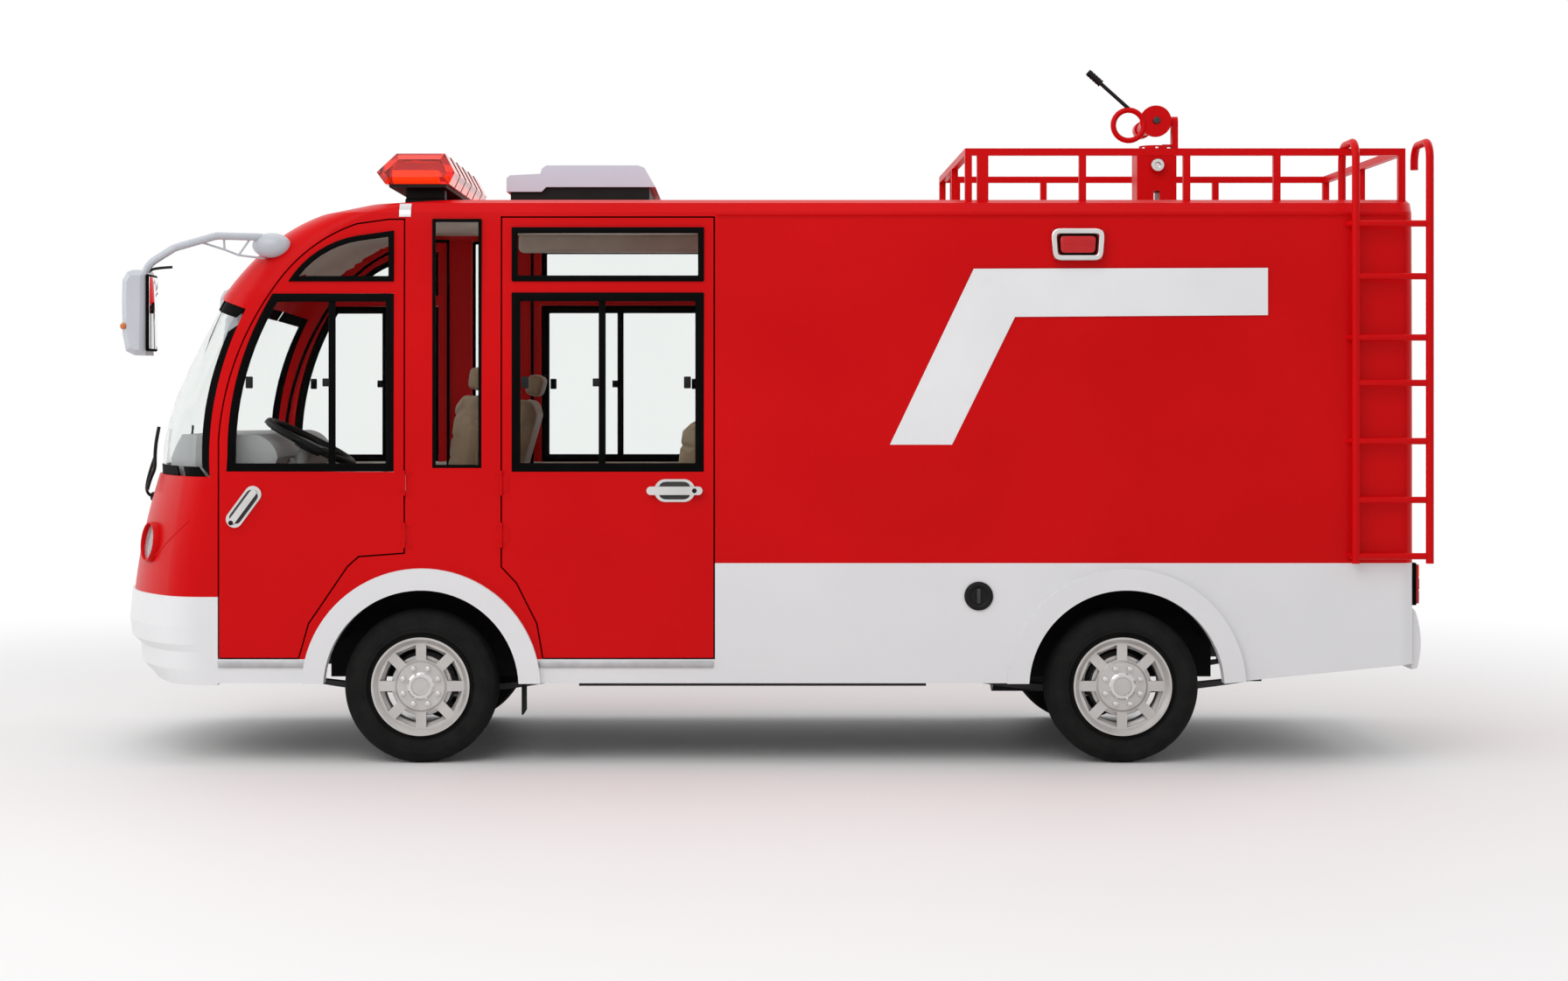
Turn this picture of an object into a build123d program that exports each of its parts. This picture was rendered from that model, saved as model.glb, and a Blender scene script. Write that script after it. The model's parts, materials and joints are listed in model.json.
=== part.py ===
"""Electric fire patrol vehicle, millimetres.

Front is -X, the driver's side is -Y, +Z is up. The origin is on the ground, at the middle of the
vehicle's length and width.
"""
from build123d import *
from math import asin, atan2, cos, pi, radians, sin
import os

os.makedirs("parts", exist_ok=True)

# Driving dimensions of the whole vehicle
overall_length = 4945.0
body_width = 1500.0
roof_height = 2090.0
wheelbase = 2600.0
front_overhang = 1211.5
ladder_overhang = 56.5
track = 1300.0
body_wall = 40.0
glass_thickness = 8.0
glass_depth = 14.0

# Clearances and joints
seat_gap = 0.3
door_gap = 6.0
running_fit = 0.05
seam_lap = 1.0
cut_over = 60.0

# Heights that the body's panels share
bumper_bottom_z = 292.0
sill_bottom_z = 300.0
door_bottom_z = 388.0
skirt_top_z = 743.0
floor_z = 440.0
floor_thick = 25.0

# Lengthways distances behind the front axle
door_lead = -745.0
front_door_end = -53.0
rear_door_start = 299.0
box_start = 1091.0

# Wheels and tyres
tyre_radius = 284.0
tyre_width = 175.0
rim_radius = 168.0
rim_lip = 182.0
rim_width = 150.0
hub_radius = 54.0
spindle_radius = 22.0

# Arches
arch_radius = 360.0
flare_width = 80.0
flare_stand = 24.0
arch_shift = 8.0
tub_wall = 15.0
tub_room = 250.0

half_length = overall_length / 2
half_width = body_width / 2
front_axle_x = front_overhang - half_length
rear_axle_x = front_axle_x + wheelbase
rear_face_x = half_length - ladder_overhang
hub_z = tyre_radius
floor_top_z = floor_z + floor_thick
flare_radius = arch_radius + flare_width
door_lead_x = front_axle_x + door_lead
front_door_end_x = front_axle_x + front_door_end
rear_door_start_x = front_axle_x + rear_door_start
box_start_x = front_axle_x + box_start
far_left, far_right = -half_width - cut_over, half_width + cut_over
far_front, far_rear = -half_length - cut_over, half_length + cut_over
far_top = roof_height + cut_over


def outline_wire(outline, place):
    """A closed wire through an outline. A pair of points in the outline is an arc's middle and end."""
    edges = []
    start = here = place(*outline[0])
    for run in outline[1:]:
        if isinstance(run[0], tuple):
            middle, end = place(*run[0]), place(*run[1])
            edges.append(Edge.make_three_point_arc(here, middle, end))
        else:
            end = place(*run)
            edges.append(Edge.make_line(here, end))
        here = end
    if (here - start).length > seat_gap:
        edges.append(Edge.make_line(here, start))
    return Wire(edges)


def side_cut(outline, grow=0.0, y_low=far_left, y_high=-half_width / 2):
    """A side-view outline of (x, z), moved out by grow and drawn from y_low to y_high."""
    wire = outline_wire(outline, lambda x, z: Vector(x, y_low, z))
    if grow:
        wire = wire.offset_2d(grow, kind=Kind.INTERSECTION)
    return extrude(Face(wire), amount=y_high - y_low, dir=(0, 1, 0))


def across_cut(outline, grow=0.0):
    """A side-view outline drawn through the whole width."""
    return side_cut(outline, grow, far_left, far_right)


def block(x_low, x_high, y_low, y_high, z_low, z_high):
    """A plain block between six planes."""
    size = (x_high - x_low, y_high - y_low, z_high - z_low)
    middle = ((x_low + x_high) / 2, (y_low + y_high) / 2, (z_low + z_high) / 2)
    return Pos(*middle) * Box(*size)


def rod(start, end, radius):
    """A round bar from one point to another."""
    start, end = Vector(*start), Vector(*end)
    line = end - start
    return extrude(Plane(origin=start, z_dir=line) * Circle(radius), amount=line.length)


def side_disc(x, z, radius, y_low, y_high):
    """A round disc in side view, drawn from y_low to y_high."""
    face = Plane(origin=(x, y_low, z), x_dir=(1, 0, 0), z_dir=(0, 1, 0)) * Circle(radius)
    return extrude(face, amount=y_high - y_low, dir=(0, 1, 0))


def upright(x, y, z_low, z_high, radius):
    """A round post from z_low to z_high."""
    return rod((x, y, z_low), (x, y, z_high), radius)


def turned(section, x, y, z):
    """A section of (across, radius), turned about a wheel's axle."""
    wire = outline_wire(section, lambda across, radius: Vector(x, y + across, z + radius))
    return revolve(Face(wire), axis=Axis((x, y, z), (0, 1, 0)))


def mirrored(shape):
    """The shape on the other side of the vehicle's middle plane."""
    return mirror(shape, about=Plane.XZ)


def both_sides(shape):
    """The shape with its mirror image."""
    return [shape, mirrored(shape)]


def solids_of(*shapes):
    """All solids of some shapes, in one compound."""
    found = []
    for shape in shapes:
        for one in (shape if isinstance(shape, (list, tuple)) else (shape,)):
            found += list(one.solids())
    return Compound(children=found)


def save(shape, node):
    export_step(shape, f"parts/{node}.step")


# Body form: plan sections at heights. Height is a share of the roof's height, and set_back of the
# front overhang. Curve (how far the nose's bow reaches back) and width are shares of the half
# width. Down, side and ahead are the shares of an inset that go down, in from the sides and back
# from the nose.
corner_radius = 200.0
rear_corner_radius = 60.0
bumper_top_share = 0.2957
screen_base_share = 0.5077
screen_top_share = 0.8349
brow_top_share = 0.9761
bumper_level_shares = (
    # height, set_back, curve, width, down, side, ahead
    (bumper_bottom_z / roof_height, 0.0900, 0.450, 1.000, 0.0, 1.0, 1.0),
    (0.1660, 0.0400, 0.500, 1.000, 0.0, 1.0, 1.0),
    (0.1980, 0.0370, 0.500, 1.000, 0.0, 1.0, 1.0),
    (0.2110, 0.0080, 0.520, 1.000, 0.0, 1.0, 1.0),
    (0.2420, 0.0000, 0.530, 1.000, 0.0, 1.0, 1.0),
    (bumper_top_share, 0.0090, 0.535, 1.000, 0.0, 1.0, 1.0),
)
nose_level_shares = (
    (bumper_top_share, 0.0163, 0.530, 1.000, 0.0, 1.0, 1.0),
    (0.3828, 0.0408, 0.520, 1.000, 0.0, 1.0, 1.0),
    (screen_base_share, 0.0980, 0.490, 1.000, 0.0, 1.0, 1.0),
)
screen_level_shares = (
    (screen_base_share, 0.0980, 0.490, 1.000, 0.0, 1.0, 1.0),
    (0.5737, 0.1051, 0.480, 1.000, 0.0, 1.0, 1.0),
    (0.6866, 0.1745, 0.430, 0.998, 0.0, 1.0, 1.0),
    (screen_top_share, 0.3184, 0.375, 0.994, 0.0, 1.0, 1.0),
)
brow_level_shares = (
    (screen_top_share, 0.3184, 0.375, 0.994, 0.0, 1.0, 1.0),
    (0.8967, 0.4082, 0.375, 0.990, 0.0, 1.0, 1.0),
    (0.9483, 0.5122, 0.390, 0.988, 0.3, 1.0, 0.9),
    (brow_top_share, 0.6000, 0.410, 0.984, 0.6, 0.8, 0.7),
)
roof_level_shares = (
    (brow_top_share, 0.6000, 0.410, 0.984, 0.6, 0.8, 0.7),
    (0.9928, 0.7204, 0.430, 0.952, 0.95, 0.3, 0.3),
    (1.0000, 0.8612, 0.450, 0.880, 1.0, 0.0, 0.0),
)
storeys = (
    # levels, smooth
    (bumper_level_shares, False),
    (nose_level_shares, True),
    (screen_level_shares, True),
    (brow_level_shares, True),
    (roof_level_shares, False),
)
bumper_top_z = bumper_top_share * roof_height
screen_base_z = screen_base_share * roof_height


def bow_radius(reach, across, corner):
    """The radius of the nose's bow, which meets both corner arcs smoothly."""
    return (reach**2 + across**2 - corner**2) / (2 * (reach - corner))


def plan_section(level, inset):
    """A plan outline at one height: straight sides, round corners and a bowed nose."""
    height, set_back, curve, width, down, side, ahead = level
    z = height * roof_height - down * inset
    across = width * half_width - corner_radius
    side_x = set_back * front_overhang - half_length + curve * half_width
    half = width * half_width - side * inset
    corner = corner_radius - side * inset
    rear = rear_corner_radius - side * inset
    rear_x = rear_face_x - side * inset
    nose_x = side_x - curve * half_width + ahead * inset
    bow = bow_radius(side_x - nose_x, across, corner)
    lean = atan2(-across, side_x - nose_x - bow)
    mid_lean = (lean - pi / 2) / 2
    joint = (side_x + corner * cos(lean), -across + corner * sin(lean))
    round_mid = (side_x + corner * cos(mid_lean), -across + corner * sin(mid_lean))
    turn = rear * cos(pi / 4)
    points = [
        (rear_x - rear, -half),
        (side_x, -half),
        (round_mid, joint),
        ((nose_x, 0.0), (joint[0], -joint[1])),
        ((round_mid[0], -round_mid[1]), (side_x, half)),
        (rear_x - rear, half),
        ((rear_x - rear + turn, half - rear + turn), (rear_x, half - rear)),
        (rear_x, rear - half),
        ((rear_x - rear + turn, rear - half - turn), (rear_x - rear, -half)),
    ]
    return outline_wire(points, lambda x, y: Vector(x, y, z))


def body_form(inset):
    """The whole body's form, drawn in by an inset."""
    parts = []
    for levels, smooth in storeys:
        parts.append(Solid.make_loft([plan_section(level, inset) for level in levels], not smooth))
    return parts[0].fuse(*parts[1:])


outer_form = body_form(0.0)
inner_form = body_form(body_wall)
skin = outer_form - inner_form
glass_skin = body_form(glass_depth) - body_form(glass_depth + glass_thickness)


def cab_points(shares):
    """Outline points from shares: x of the front overhang behind the axle, z of the roof's height."""
    points = []
    for run in shares:
        if isinstance(run[0], tuple):
            points.append(tuple(cab_points(run)))
        else:
            points.append((front_axle_x + run[0] * front_overhang, run[1] * roof_height))
    return points


def arch_point(x_share, z_share):
    """A point about the front arch, in shares of its flare's radius."""
    return (front_axle_x + arch_shift + x_share * flare_radius, hub_z + z_share * flare_radius)


# Doors and windows, as outlines in side view
door_top_drop = 73.0
rear_door_rise = 7.0
front_door_post = 42.0
rear_door_post = 41.0
front_door_top_z = roof_height - door_top_drop
rear_door_top_z = front_door_top_z + rear_door_rise
front_window_end_x = front_door_end_x - front_door_post
rear_window_start_x = rear_door_start_x + rear_door_post
rear_window_end_x = box_start_x - rear_door_post
lower_window_top_share = 0.8324
upper_window_low_share = 0.8531
door_shoulder_share = 0.5742
door_curve_shares = (
    ((-0.5588, 0.7225), (-0.4482, 0.8421)),
    ((-0.3392, 0.9105), (-0.1923, 0.9565)),
)
door_corner_share = (-0.0933, 0.9651)
front_lower_shares = (
    (-0.5885, 0.5172),
    (-0.5852, 0.5464),
    ((-0.5563, 0.6842), (-0.4482, 0.8316)),
)
front_upper_shares = (
    (-0.4003, 0.8531),
    ((-0.3128, 0.9057), (-0.1890, 0.9340)),
)
front_upper_top_share = 0.9431
front_door_low_share = 1.120
front_door_arch_shares = ((-0.527, 1.091), (-0.618, 1.009), (-0.943, 0.532))
front_door_foot_share = -1.027
rear_door_low_share = 1.009
rear_door_arch_shares = ((0.961, 0.532), (0.791, 0.870))
rear_door_foot_share = 1.011
front_door_outline = [
    (door_lead_x, door_bottom_z),
    (door_lead_x, door_shoulder_share * roof_height),
    *cab_points(door_curve_shares),
    (front_axle_x + door_corner_share[0] * front_overhang, front_door_top_z - seam_lap),
    (front_door_end_x, front_door_top_z - seam_lap),
    (front_door_end_x, arch_point(0.0, front_door_low_share)[1]),
    *[arch_point(*shares) for shares in front_door_arch_shares],
    (arch_point(front_door_foot_share, 0.0)[0], door_bottom_z),
]
rear_door_outline = [
    (rear_door_start_x, arch_point(0.0, rear_door_low_share)[1]),
    (rear_door_start_x, rear_door_top_z),
    (box_start_x, rear_door_top_z),
    (box_start_x, door_bottom_z),
    (arch_point(rear_door_foot_share, 0.0)[0], door_bottom_z),
    *[arch_point(*shares) for shares in rear_door_arch_shares],
]
front_lower_window = [
    *cab_points(front_lower_shares),
    (front_window_end_x, lower_window_top_share * roof_height - seam_lap),
    (front_window_end_x, front_lower_shares[0][1] * roof_height - seam_lap),
]
front_upper_window = [
    *cab_points(front_upper_shares),
    (front_window_end_x, front_upper_top_share * roof_height),
    (front_window_end_x, upper_window_low_share * roof_height),
]


def upright_window(x_low, x_high, low_share, high_share):
    """A window with upright ends."""
    low, high = low_share * roof_height, high_share * roof_height
    return [(x_low, low), (x_low, high), (x_high, high), (x_high, low)]


rear_lower_shares = (0.5167, 0.8335)
rear_upper_shares = (0.8531, 0.9488)
rear_lower_window = upright_window(rear_window_start_x, rear_window_end_x, *rear_lower_shares)
rear_upper_window = upright_window(rear_window_start_x, rear_window_end_x, *rear_upper_shares)
pillar_start, pillar_end = 47.0, 229.0
pillar_shares = (0.5234, 0.9636)
pillar_window = upright_window(front_axle_x + pillar_start, front_axle_x + pillar_end, *pillar_shares)
screen_side_shares = (
    (-0.6397, screen_base_share),
    ((-0.6166, 0.6699), (-0.5316, 0.8048)),
    (-0.7008, 0.8383),
)
screen_front_share = 0.8957
screen_outline = [
    (far_front, screen_base_z),
    *cab_points(screen_side_shares),
    (far_front, screen_front_share * roof_height),
]

# Door hinges: a barrel on the door between two ears on the body, about one upright pin
hinge_stand = 6.0
hinge_set = 3.0
hinge_barrel = 5.4
hinge_pin = 3.0
hinge_half = 30.0
hinge_ear = 16.0
hinge_leaf = 26.0
hinge_plate = 2.5
hinge_height_shares = (0.405, 0.497)


def door_hinge(x, z, toward_door):
    """The barrel and leaf on the door, and the pin, ears and leaf on the body, of one hinge."""
    y = -half_width - hinge_stand
    face_y = -half_width + seam_lap
    barrel = upright(x, y, z - hinge_half, z + hinge_half, hinge_barrel)
    near, far = x + toward_door * hinge_barrel, x + toward_door * hinge_leaf
    leaf = block(min(x, far), max(x, far), -half_width - hinge_plate, face_y,
                 z - hinge_half, z + hinge_half)
    web = block(min(x, near), max(x, near), y, -half_width, z - hinge_half, z + hinge_half)
    keep = block(min(x + toward_door * hinge_set, far), max(x + toward_door * hinge_set, far),
                 far_left, face_y, z - hinge_half, z + hinge_half)
    moving = barrel.fuse((leaf.fuse(web)) & keep)
    moving = moving - upright(x, y, z - hinge_half - seam_lap, z + hinge_half + seam_lap,
                              hinge_pin + running_fit)
    fixed = upright(x, y, z - hinge_half - hinge_ear, z + hinge_half + hinge_ear, hinge_pin)
    for way in (-1, 1):
        low = z + way * (hinge_half + seam_lap + (hinge_ear - seam_lap) / 2) - (hinge_ear - seam_lap) / 2
        high = low + hinge_ear - seam_lap
        far = x - toward_door * hinge_leaf
        ear = upright(x, y, low, high, hinge_barrel)
        plate = block(min(x, far), max(x, far), -half_width - hinge_plate, face_y, low, high)
        back = block(min(x - toward_door * hinge_set, far), max(x - toward_door * hinge_set, far),
                     far_left, face_y, low, high)
        link = block(min(x, x - toward_door * hinge_barrel), max(x, x - toward_door * hinge_barrel),
                     y, -half_width, low, high)
        fixed = fixed.fuse(ear).fuse((plate.fuse(link)) & back)
    return moving, fixed


def arch_disc(x, radius, y_low, y_high):
    """A round cut or flare about an arch's centre."""
    return side_disc(x + arch_shift, hub_z, radius, y_low, y_high)


door_table = (
    # place, outline, windows, hinge's x, way from the hinge to the door
    ("front", front_door_outline, (front_lower_window, front_upper_window),
     front_door_end_x - hinge_set, -1),
    ("rear", rear_door_outline, (rear_lower_window, rear_upper_window),
     rear_door_start_x + hinge_set, 1),
)
fixed_hinges = []
for place, outline, windows, hinge_x, toward_door in door_table:
    leaf = skin & side_cut(outline, -door_gap)
    panes = []
    for window in windows:
        leaf = leaf - side_cut(window)
        panes.append(glass_skin & side_cut(window, -seat_gap))
    for share in hinge_height_shares:
        moving, fixed = door_hinge(hinge_x, share * roof_height, toward_door)
        leaf = leaf.fuse(moving)
        fixed_hinges.append(fixed)
    save(leaf, f"door_{place}_left")
    save(mirrored(leaf), f"door_{place}_right")
    save(solids_of(panes), f"glass_{place}_left")
    save(solids_of([mirrored(pane) for pane in panes]), f"glass_{place}_right")

# Cab frame: pillars, brow and roof, with the doors' fixed hinge halves
cab_zone = block(far_front, box_start_x, far_left, far_right, door_bottom_z, far_top)
nose_zone = block(far_front, door_lead_x, far_left, far_right, 0, screen_base_z)
cab_frame = (skin & cab_zone) - nose_zone - across_cut(screen_outline)
for outline in (front_door_outline, rear_door_outline, pillar_window):
    left = side_cut(outline)
    cab_frame = cab_frame - left - mirrored(left)
cab_frame = cab_frame - arch_disc(front_axle_x, flare_radius, far_left, far_right)
for fixed in fixed_hinges:
    cab_frame = cab_frame.fuse(fixed).fuse(mirrored(fixed))
save(cab_frame, "cab_frame")

# Nose, bumper and fixed glass, cut from the same skin
lamp_ahead = 1049.0
lamp_across = 505.0
lamp_height = 809.0
lamp_radius = 70.0
lamp_reach = 140.0
lamp_stand = 12.0
lamp_facing_shares = (-0.86, -0.5, 0.12)
lamp_plane = Plane(origin=(front_axle_x - lamp_ahead, -lamp_across, lamp_height), z_dir=lamp_facing_shares)
nose_panel = skin & block(far_front, door_lead_x, far_left, far_right, bumper_top_z, screen_base_z)
for hole in both_sides(extrude(lamp_plane * Circle(lamp_radius + seat_gap), amount=lamp_reach, both=True)):
    nose_panel = nose_panel - hole
save(nose_panel, "nose_panel")
headlamp = extrude(lamp_plane * Circle(lamp_radius), amount=lamp_reach, both=True)
headlamp = headlamp & (body_form(-lamp_stand) - inner_form)
save(solids_of(both_sides(headlamp)), "headlamps")
front_bumper = skin & block(far_front, door_lead_x, far_left, far_right, 0, bumper_top_z)
save(front_bumper, "front_bumper")
screen_glass = glass_skin & across_cut(screen_outline, -seat_gap)
pillar_glass = glass_skin & side_cut(pillar_window, -seat_gap)
save(solids_of(screen_glass, both_sides(pillar_glass)), "fixed_glass")

# Box with its bulkhead and rear gate
gate_half = 610.0
gate_low_z = 800.0
gate_drop = 140.0
gate_hinge_y = 400.0
gate_hinge_stand = 14.0
gate_hinge_half = 30.0
gate_ear = 20.0
gate_pin = 5.0
gate_barrel = 11.0
gate_strap = 8.0
gate_strap_long = 76.0
gate_leaf_long = 56.0
gate_strap_gap = 4.0
gate_high_z = roof_height - gate_drop
gate_hinge_x = rear_face_x + gate_hinge_stand
gate_hinge_z = gate_high_z - door_gap / 2
box_zone = block(box_start_x, far_rear, far_left, far_right, skirt_top_z, far_top)
gate_hole = block(rear_face_x - 2 * body_wall, far_rear, -gate_half, gate_half, gate_low_z, gate_high_z)
bulkhead = inner_form & block(box_start_x, box_start_x + body_wall, far_left, far_right,
                              skirt_top_z, roof_height)
box_shell = ((skin & box_zone) - gate_hole).fuse(bulkhead)
tailgate = skin & block(rear_face_x - body_wall, far_rear, door_gap - gate_half, gate_half - door_gap,
                        gate_low_z + door_gap, gate_high_z - door_gap)
for middle in (-gate_hinge_y, gate_hinge_y):
    low, high = middle - gate_hinge_half, middle + gate_hinge_half
    barrel = rod((gate_hinge_x, low, gate_hinge_z), (gate_hinge_x, high, gate_hinge_z), gate_barrel)
    strap = block(rear_face_x, rear_face_x + gate_strap, low, high,
                  gate_hinge_z - gate_strap_gap - gate_strap_long, gate_hinge_z - gate_strap_gap)
    bore = rod((gate_hinge_x, low - seam_lap, gate_hinge_z), (gate_hinge_x, high + seam_lap, gate_hinge_z),
               gate_pin + running_fit)
    tailgate = tailgate.fuse(barrel).fuse(strap) - bore
    box_shell = box_shell.fuse(rod((gate_hinge_x, low - gate_ear, gate_hinge_z),
                                   (gate_hinge_x, high + gate_ear, gate_hinge_z), gate_pin))
    for ear_low, ear_high in ((low - gate_ear, low - seam_lap), (high + seam_lap, high + gate_ear)):
        ear = rod((gate_hinge_x, ear_low, gate_hinge_z), (gate_hinge_x, ear_high, gate_hinge_z), gate_barrel)
        leaf = block(rear_face_x, rear_face_x + gate_strap, ear_low, ear_high,
                     gate_hinge_z + gate_strap_gap, gate_hinge_z + gate_strap_gap + gate_leaf_long)
        box_shell = box_shell.fuse(ear).fuse(leaf)
save(box_shell, "box_shell")
save(tailgate, "tailgate")

# Lower skirts with arch flares and sills, rising behind the rear wheel
rise_start = 361.0
rise_height = 76.0
low_zone = block(door_lead_x, far_rear, far_left, far_right, sill_bottom_z, skirt_top_z)
door_zone = block(far_front, box_start_x, far_left, far_right, door_bottom_z, skirt_top_z + cut_over)
skirts = (skin & low_zone) - door_zone
for x in (front_axle_x, rear_axle_x):
    for low, high in ((-half_width - flare_stand, body_wall - half_width),
                      (half_width - body_wall, half_width + flare_stand)):
        ring = arch_disc(x, flare_radius, low, high)
        above_sill = block(far_front, far_rear, far_left, far_right, sill_bottom_z, roof_height)
        skirts = skirts.fuse(ring & above_sill)
    skirts = skirts - arch_disc(x, arch_radius, far_left, far_right)
skirts = skirts - across_cut([
    (rear_axle_x + rise_start, 0.0), (rear_axle_x + rise_start, sill_bottom_z),
    (half_length, sill_bottom_z + rise_height), (far_rear, 0.0),
])
save(skirts, "lower_skirts")

rear_bumper_low = 345.0
rear_bumper_tall = 230.0
bulge_deep = 34.0
bulge_shares = (
    # out of the rear face, up the bumper
    (0.0, 0.0), (0.6, 0.02), ((1.0, 0.43), (0.4, 0.94)), (0.0, 1.0),
)


def bulge_point(out_share, up_share):
    """A point on the rear bumper's section."""
    return (rear_face_x + out_share * bulge_deep, rear_bumper_low + up_share * rear_bumper_tall)


bulge_outline = []
for run in bulge_shares:
    is_arc = isinstance(run[0], tuple)
    bulge_outline.append(tuple(bulge_point(*one) for one in run) if is_arc else bulge_point(*run))
rear_bumper = side_cut(bulge_outline, 0.0, rear_corner_radius - half_width, half_width - rear_corner_radius)
save(rear_bumper, "rear_bumper")

# Floor with wheel tubs, seat boxes and bench box
floor_ahead = 1000.0
sheet = 15.0
seat_y = 370.0
seat_width = 460.0
seat_box_front = -379.0
seat_box_rear = 251.0
seat_box_top_z = 735.0
seat_box_half = 210.0
bench_front = 521.0
bench_box_set = 60.0
bench_box_back = 20.0
bench_box_top_z = 690.0
bench_half = 620.0
tub_inner_y = track / 2 - tub_room
floor_half = half_width - body_wall - seat_gap
tub_radius = arch_radius + tub_wall
floor_pan = inner_form & block(front_axle_x - floor_ahead, rear_face_x - body_wall - seat_gap,
                               -floor_half, floor_half, floor_z, floor_top_z)
above_floor = block(far_front, far_rear, far_left, far_right, floor_z, roof_height)
for x in (front_axle_x, rear_axle_x):
    tub = arch_disc(x, tub_radius, -floor_half, tub_wall - tub_inner_y) & above_floor
    floor_pan = floor_pan.fuse(tub).fuse(mirrored(tub))
for x in (front_axle_x, rear_axle_x):
    room = arch_disc(x, arch_radius, far_left, -tub_inner_y)
    floor_pan = floor_pan - room - mirrored(room)


def open_box(x_low, x_high, y_low, y_high, z_low, z_high):
    """A sheet box with no bottom."""
    inside = block(x_low + sheet, x_high - sheet, y_low + sheet, y_high - sheet, z_low, z_high - sheet)
    return block(x_low, x_high, y_low, y_high, z_low, z_high) - inside


seat_box = open_box(front_axle_x + seat_box_front, front_axle_x + seat_box_rear, -seat_y - seat_box_half,
                    seat_box_half - seat_y, floor_top_z, seat_box_top_z)
seat_box = seat_box - arch_disc(front_axle_x, tub_radius, -seat_y - seat_box_half - seam_lap,
                                seat_box_half - seat_y + seam_lap)
bench_box = open_box(front_axle_x + bench_front + bench_box_set, box_start_x - bench_box_back,
                     -bench_half, bench_half, floor_top_z, bench_box_top_z)
low_bulkhead = block(box_start_x, box_start_x + body_wall, -floor_half, floor_half, floor_top_z, skirt_top_z)
floor_pan = floor_pan.fuse(seat_box).fuse(mirrored(seat_box)).fuse(bench_box).fuse(low_bulkhead)
save(floor_pan, "floor_pan")

# Seats: a cushion and a leaning back, with a headrest on the front ones
cushion_nose = 10.0
cushion_tall = 130.0
back_set = 450.0
back_lean = 103.0
back_thick = 85.0
back_top_z = 1395.0
headrest_set = 560.0
headrest_thick = 80.0
headrest_half = 130.0
headrest_top_z = 1490.0
bench_back_set = 410.0
bench_back_lean = 66.0
bench_back_top_z = 1290.0
bench_back_gap = 8.0
cushion_shares = (0.69, 0.88)


def seat_outline(x_front, z_low, set_back, lean, thick, z_top, x_rear):
    """A seat's section: a cushion with a round nose, and a back that leans."""
    z_deck = z_low + cushion_shares[1] * cushion_tall
    return [
        (x_front, z_low), (x_front - cushion_nose, z_low + cushion_shares[0] * cushion_tall),
        (x_front + cushion_nose, z_low + cushion_tall), (x_front + set_back, z_deck),
        (x_front + set_back + lean, z_top), (x_front + set_back + lean + thick, z_top), (x_rear, z_low),
    ]


seat_front_x = front_axle_x + seat_box_front
seat = side_cut(seat_outline(seat_front_x, seat_box_top_z + seat_gap, back_set, back_lean, back_thick,
                             back_top_z, seat_front_x + back_set + headrest_half),
                0.0, -seat_y - seat_width / 2, seat_width / 2 - seat_y)
seat = seat.fuse(block(seat_front_x + headrest_set, seat_front_x + headrest_set + headrest_thick,
                       -seat_y - headrest_half, headrest_half - seat_y, back_top_z, headrest_top_z))
save(solids_of(both_sides(seat)), "front_seats")
bench_rear_x = box_start_x - bench_back_gap
bench_front_x = front_axle_x + bench_front
bench = side_cut(seat_outline(bench_front_x, bench_box_top_z + seat_gap, bench_back_set, bench_back_lean,
                              bench_rear_x - bench_front_x - bench_back_set - bench_back_lean,
                              bench_back_top_z, bench_rear_x),
                 0.0, -bench_half, bench_half)
save(bench, "rear_bench")

# Dashboard and steering column
dash_top_z = 1215.0
dash_tall = 335.0
dash_half = 660.0
dash_front = -999.0
dash_deep = 460.0
dash_shares = (
    # back from the front edge, up the dash
    (0.0, 0.39), (0.0, 0.72), (0.17, 1.0), (0.74, 1.0), ((0.93, 0.925), (1.0, 0.745)),
    (0.957, 0.6), (0.65, 0.06), (0.35, 0.0),
)
wheel_ahead = 462.0
wheel_height = 1183.0
column_tilt = 27.0
column_radius = 26.0
column_top_gap = 34.3
column_long = 830.0
shroud_radius = 46.0
shroud_low = 210.0
shroud_high = 90.0
steering_radius = 190.0
grip_radius = 14.0
horn_radius = 52.0
horn_deep = 34.0
spoke_width = 30.0
spoke_thick = 12.0
spoke_angles = (90, 210, 330)


def dash_point(back_share, up_share):
    """A point on the dashboard's section."""
    return (front_axle_x + dash_front + back_share * dash_deep, dash_top_z - (1 - up_share) * dash_tall)


dash_outline = []
for run in dash_shares:
    is_arc = isinstance(run[0], tuple)
    dash_outline.append(tuple(dash_point(*one) for one in run) if is_arc else dash_point(*run))
dash = side_cut(dash_outline, 0.0, -dash_half, dash_half) & inner_form
wheel_centre = Vector(front_axle_x - wheel_ahead, -seat_y, wheel_height)
column_axis = Vector(sin(radians(column_tilt)), 0, cos(radians(column_tilt)))
column = rod(tuple(wheel_centre - column_axis * column_long),
             tuple(wheel_centre - column_axis * column_top_gap), column_radius)
column = column.fuse(rod(tuple(wheel_centre - column_axis * shroud_low),
                         tuple(wheel_centre - column_axis * shroud_high), shroud_radius))
column = column & block(far_front, 0, far_left, far_right, floor_top_z, roof_height)
save(dash.fuse(column), "dashboard")

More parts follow.
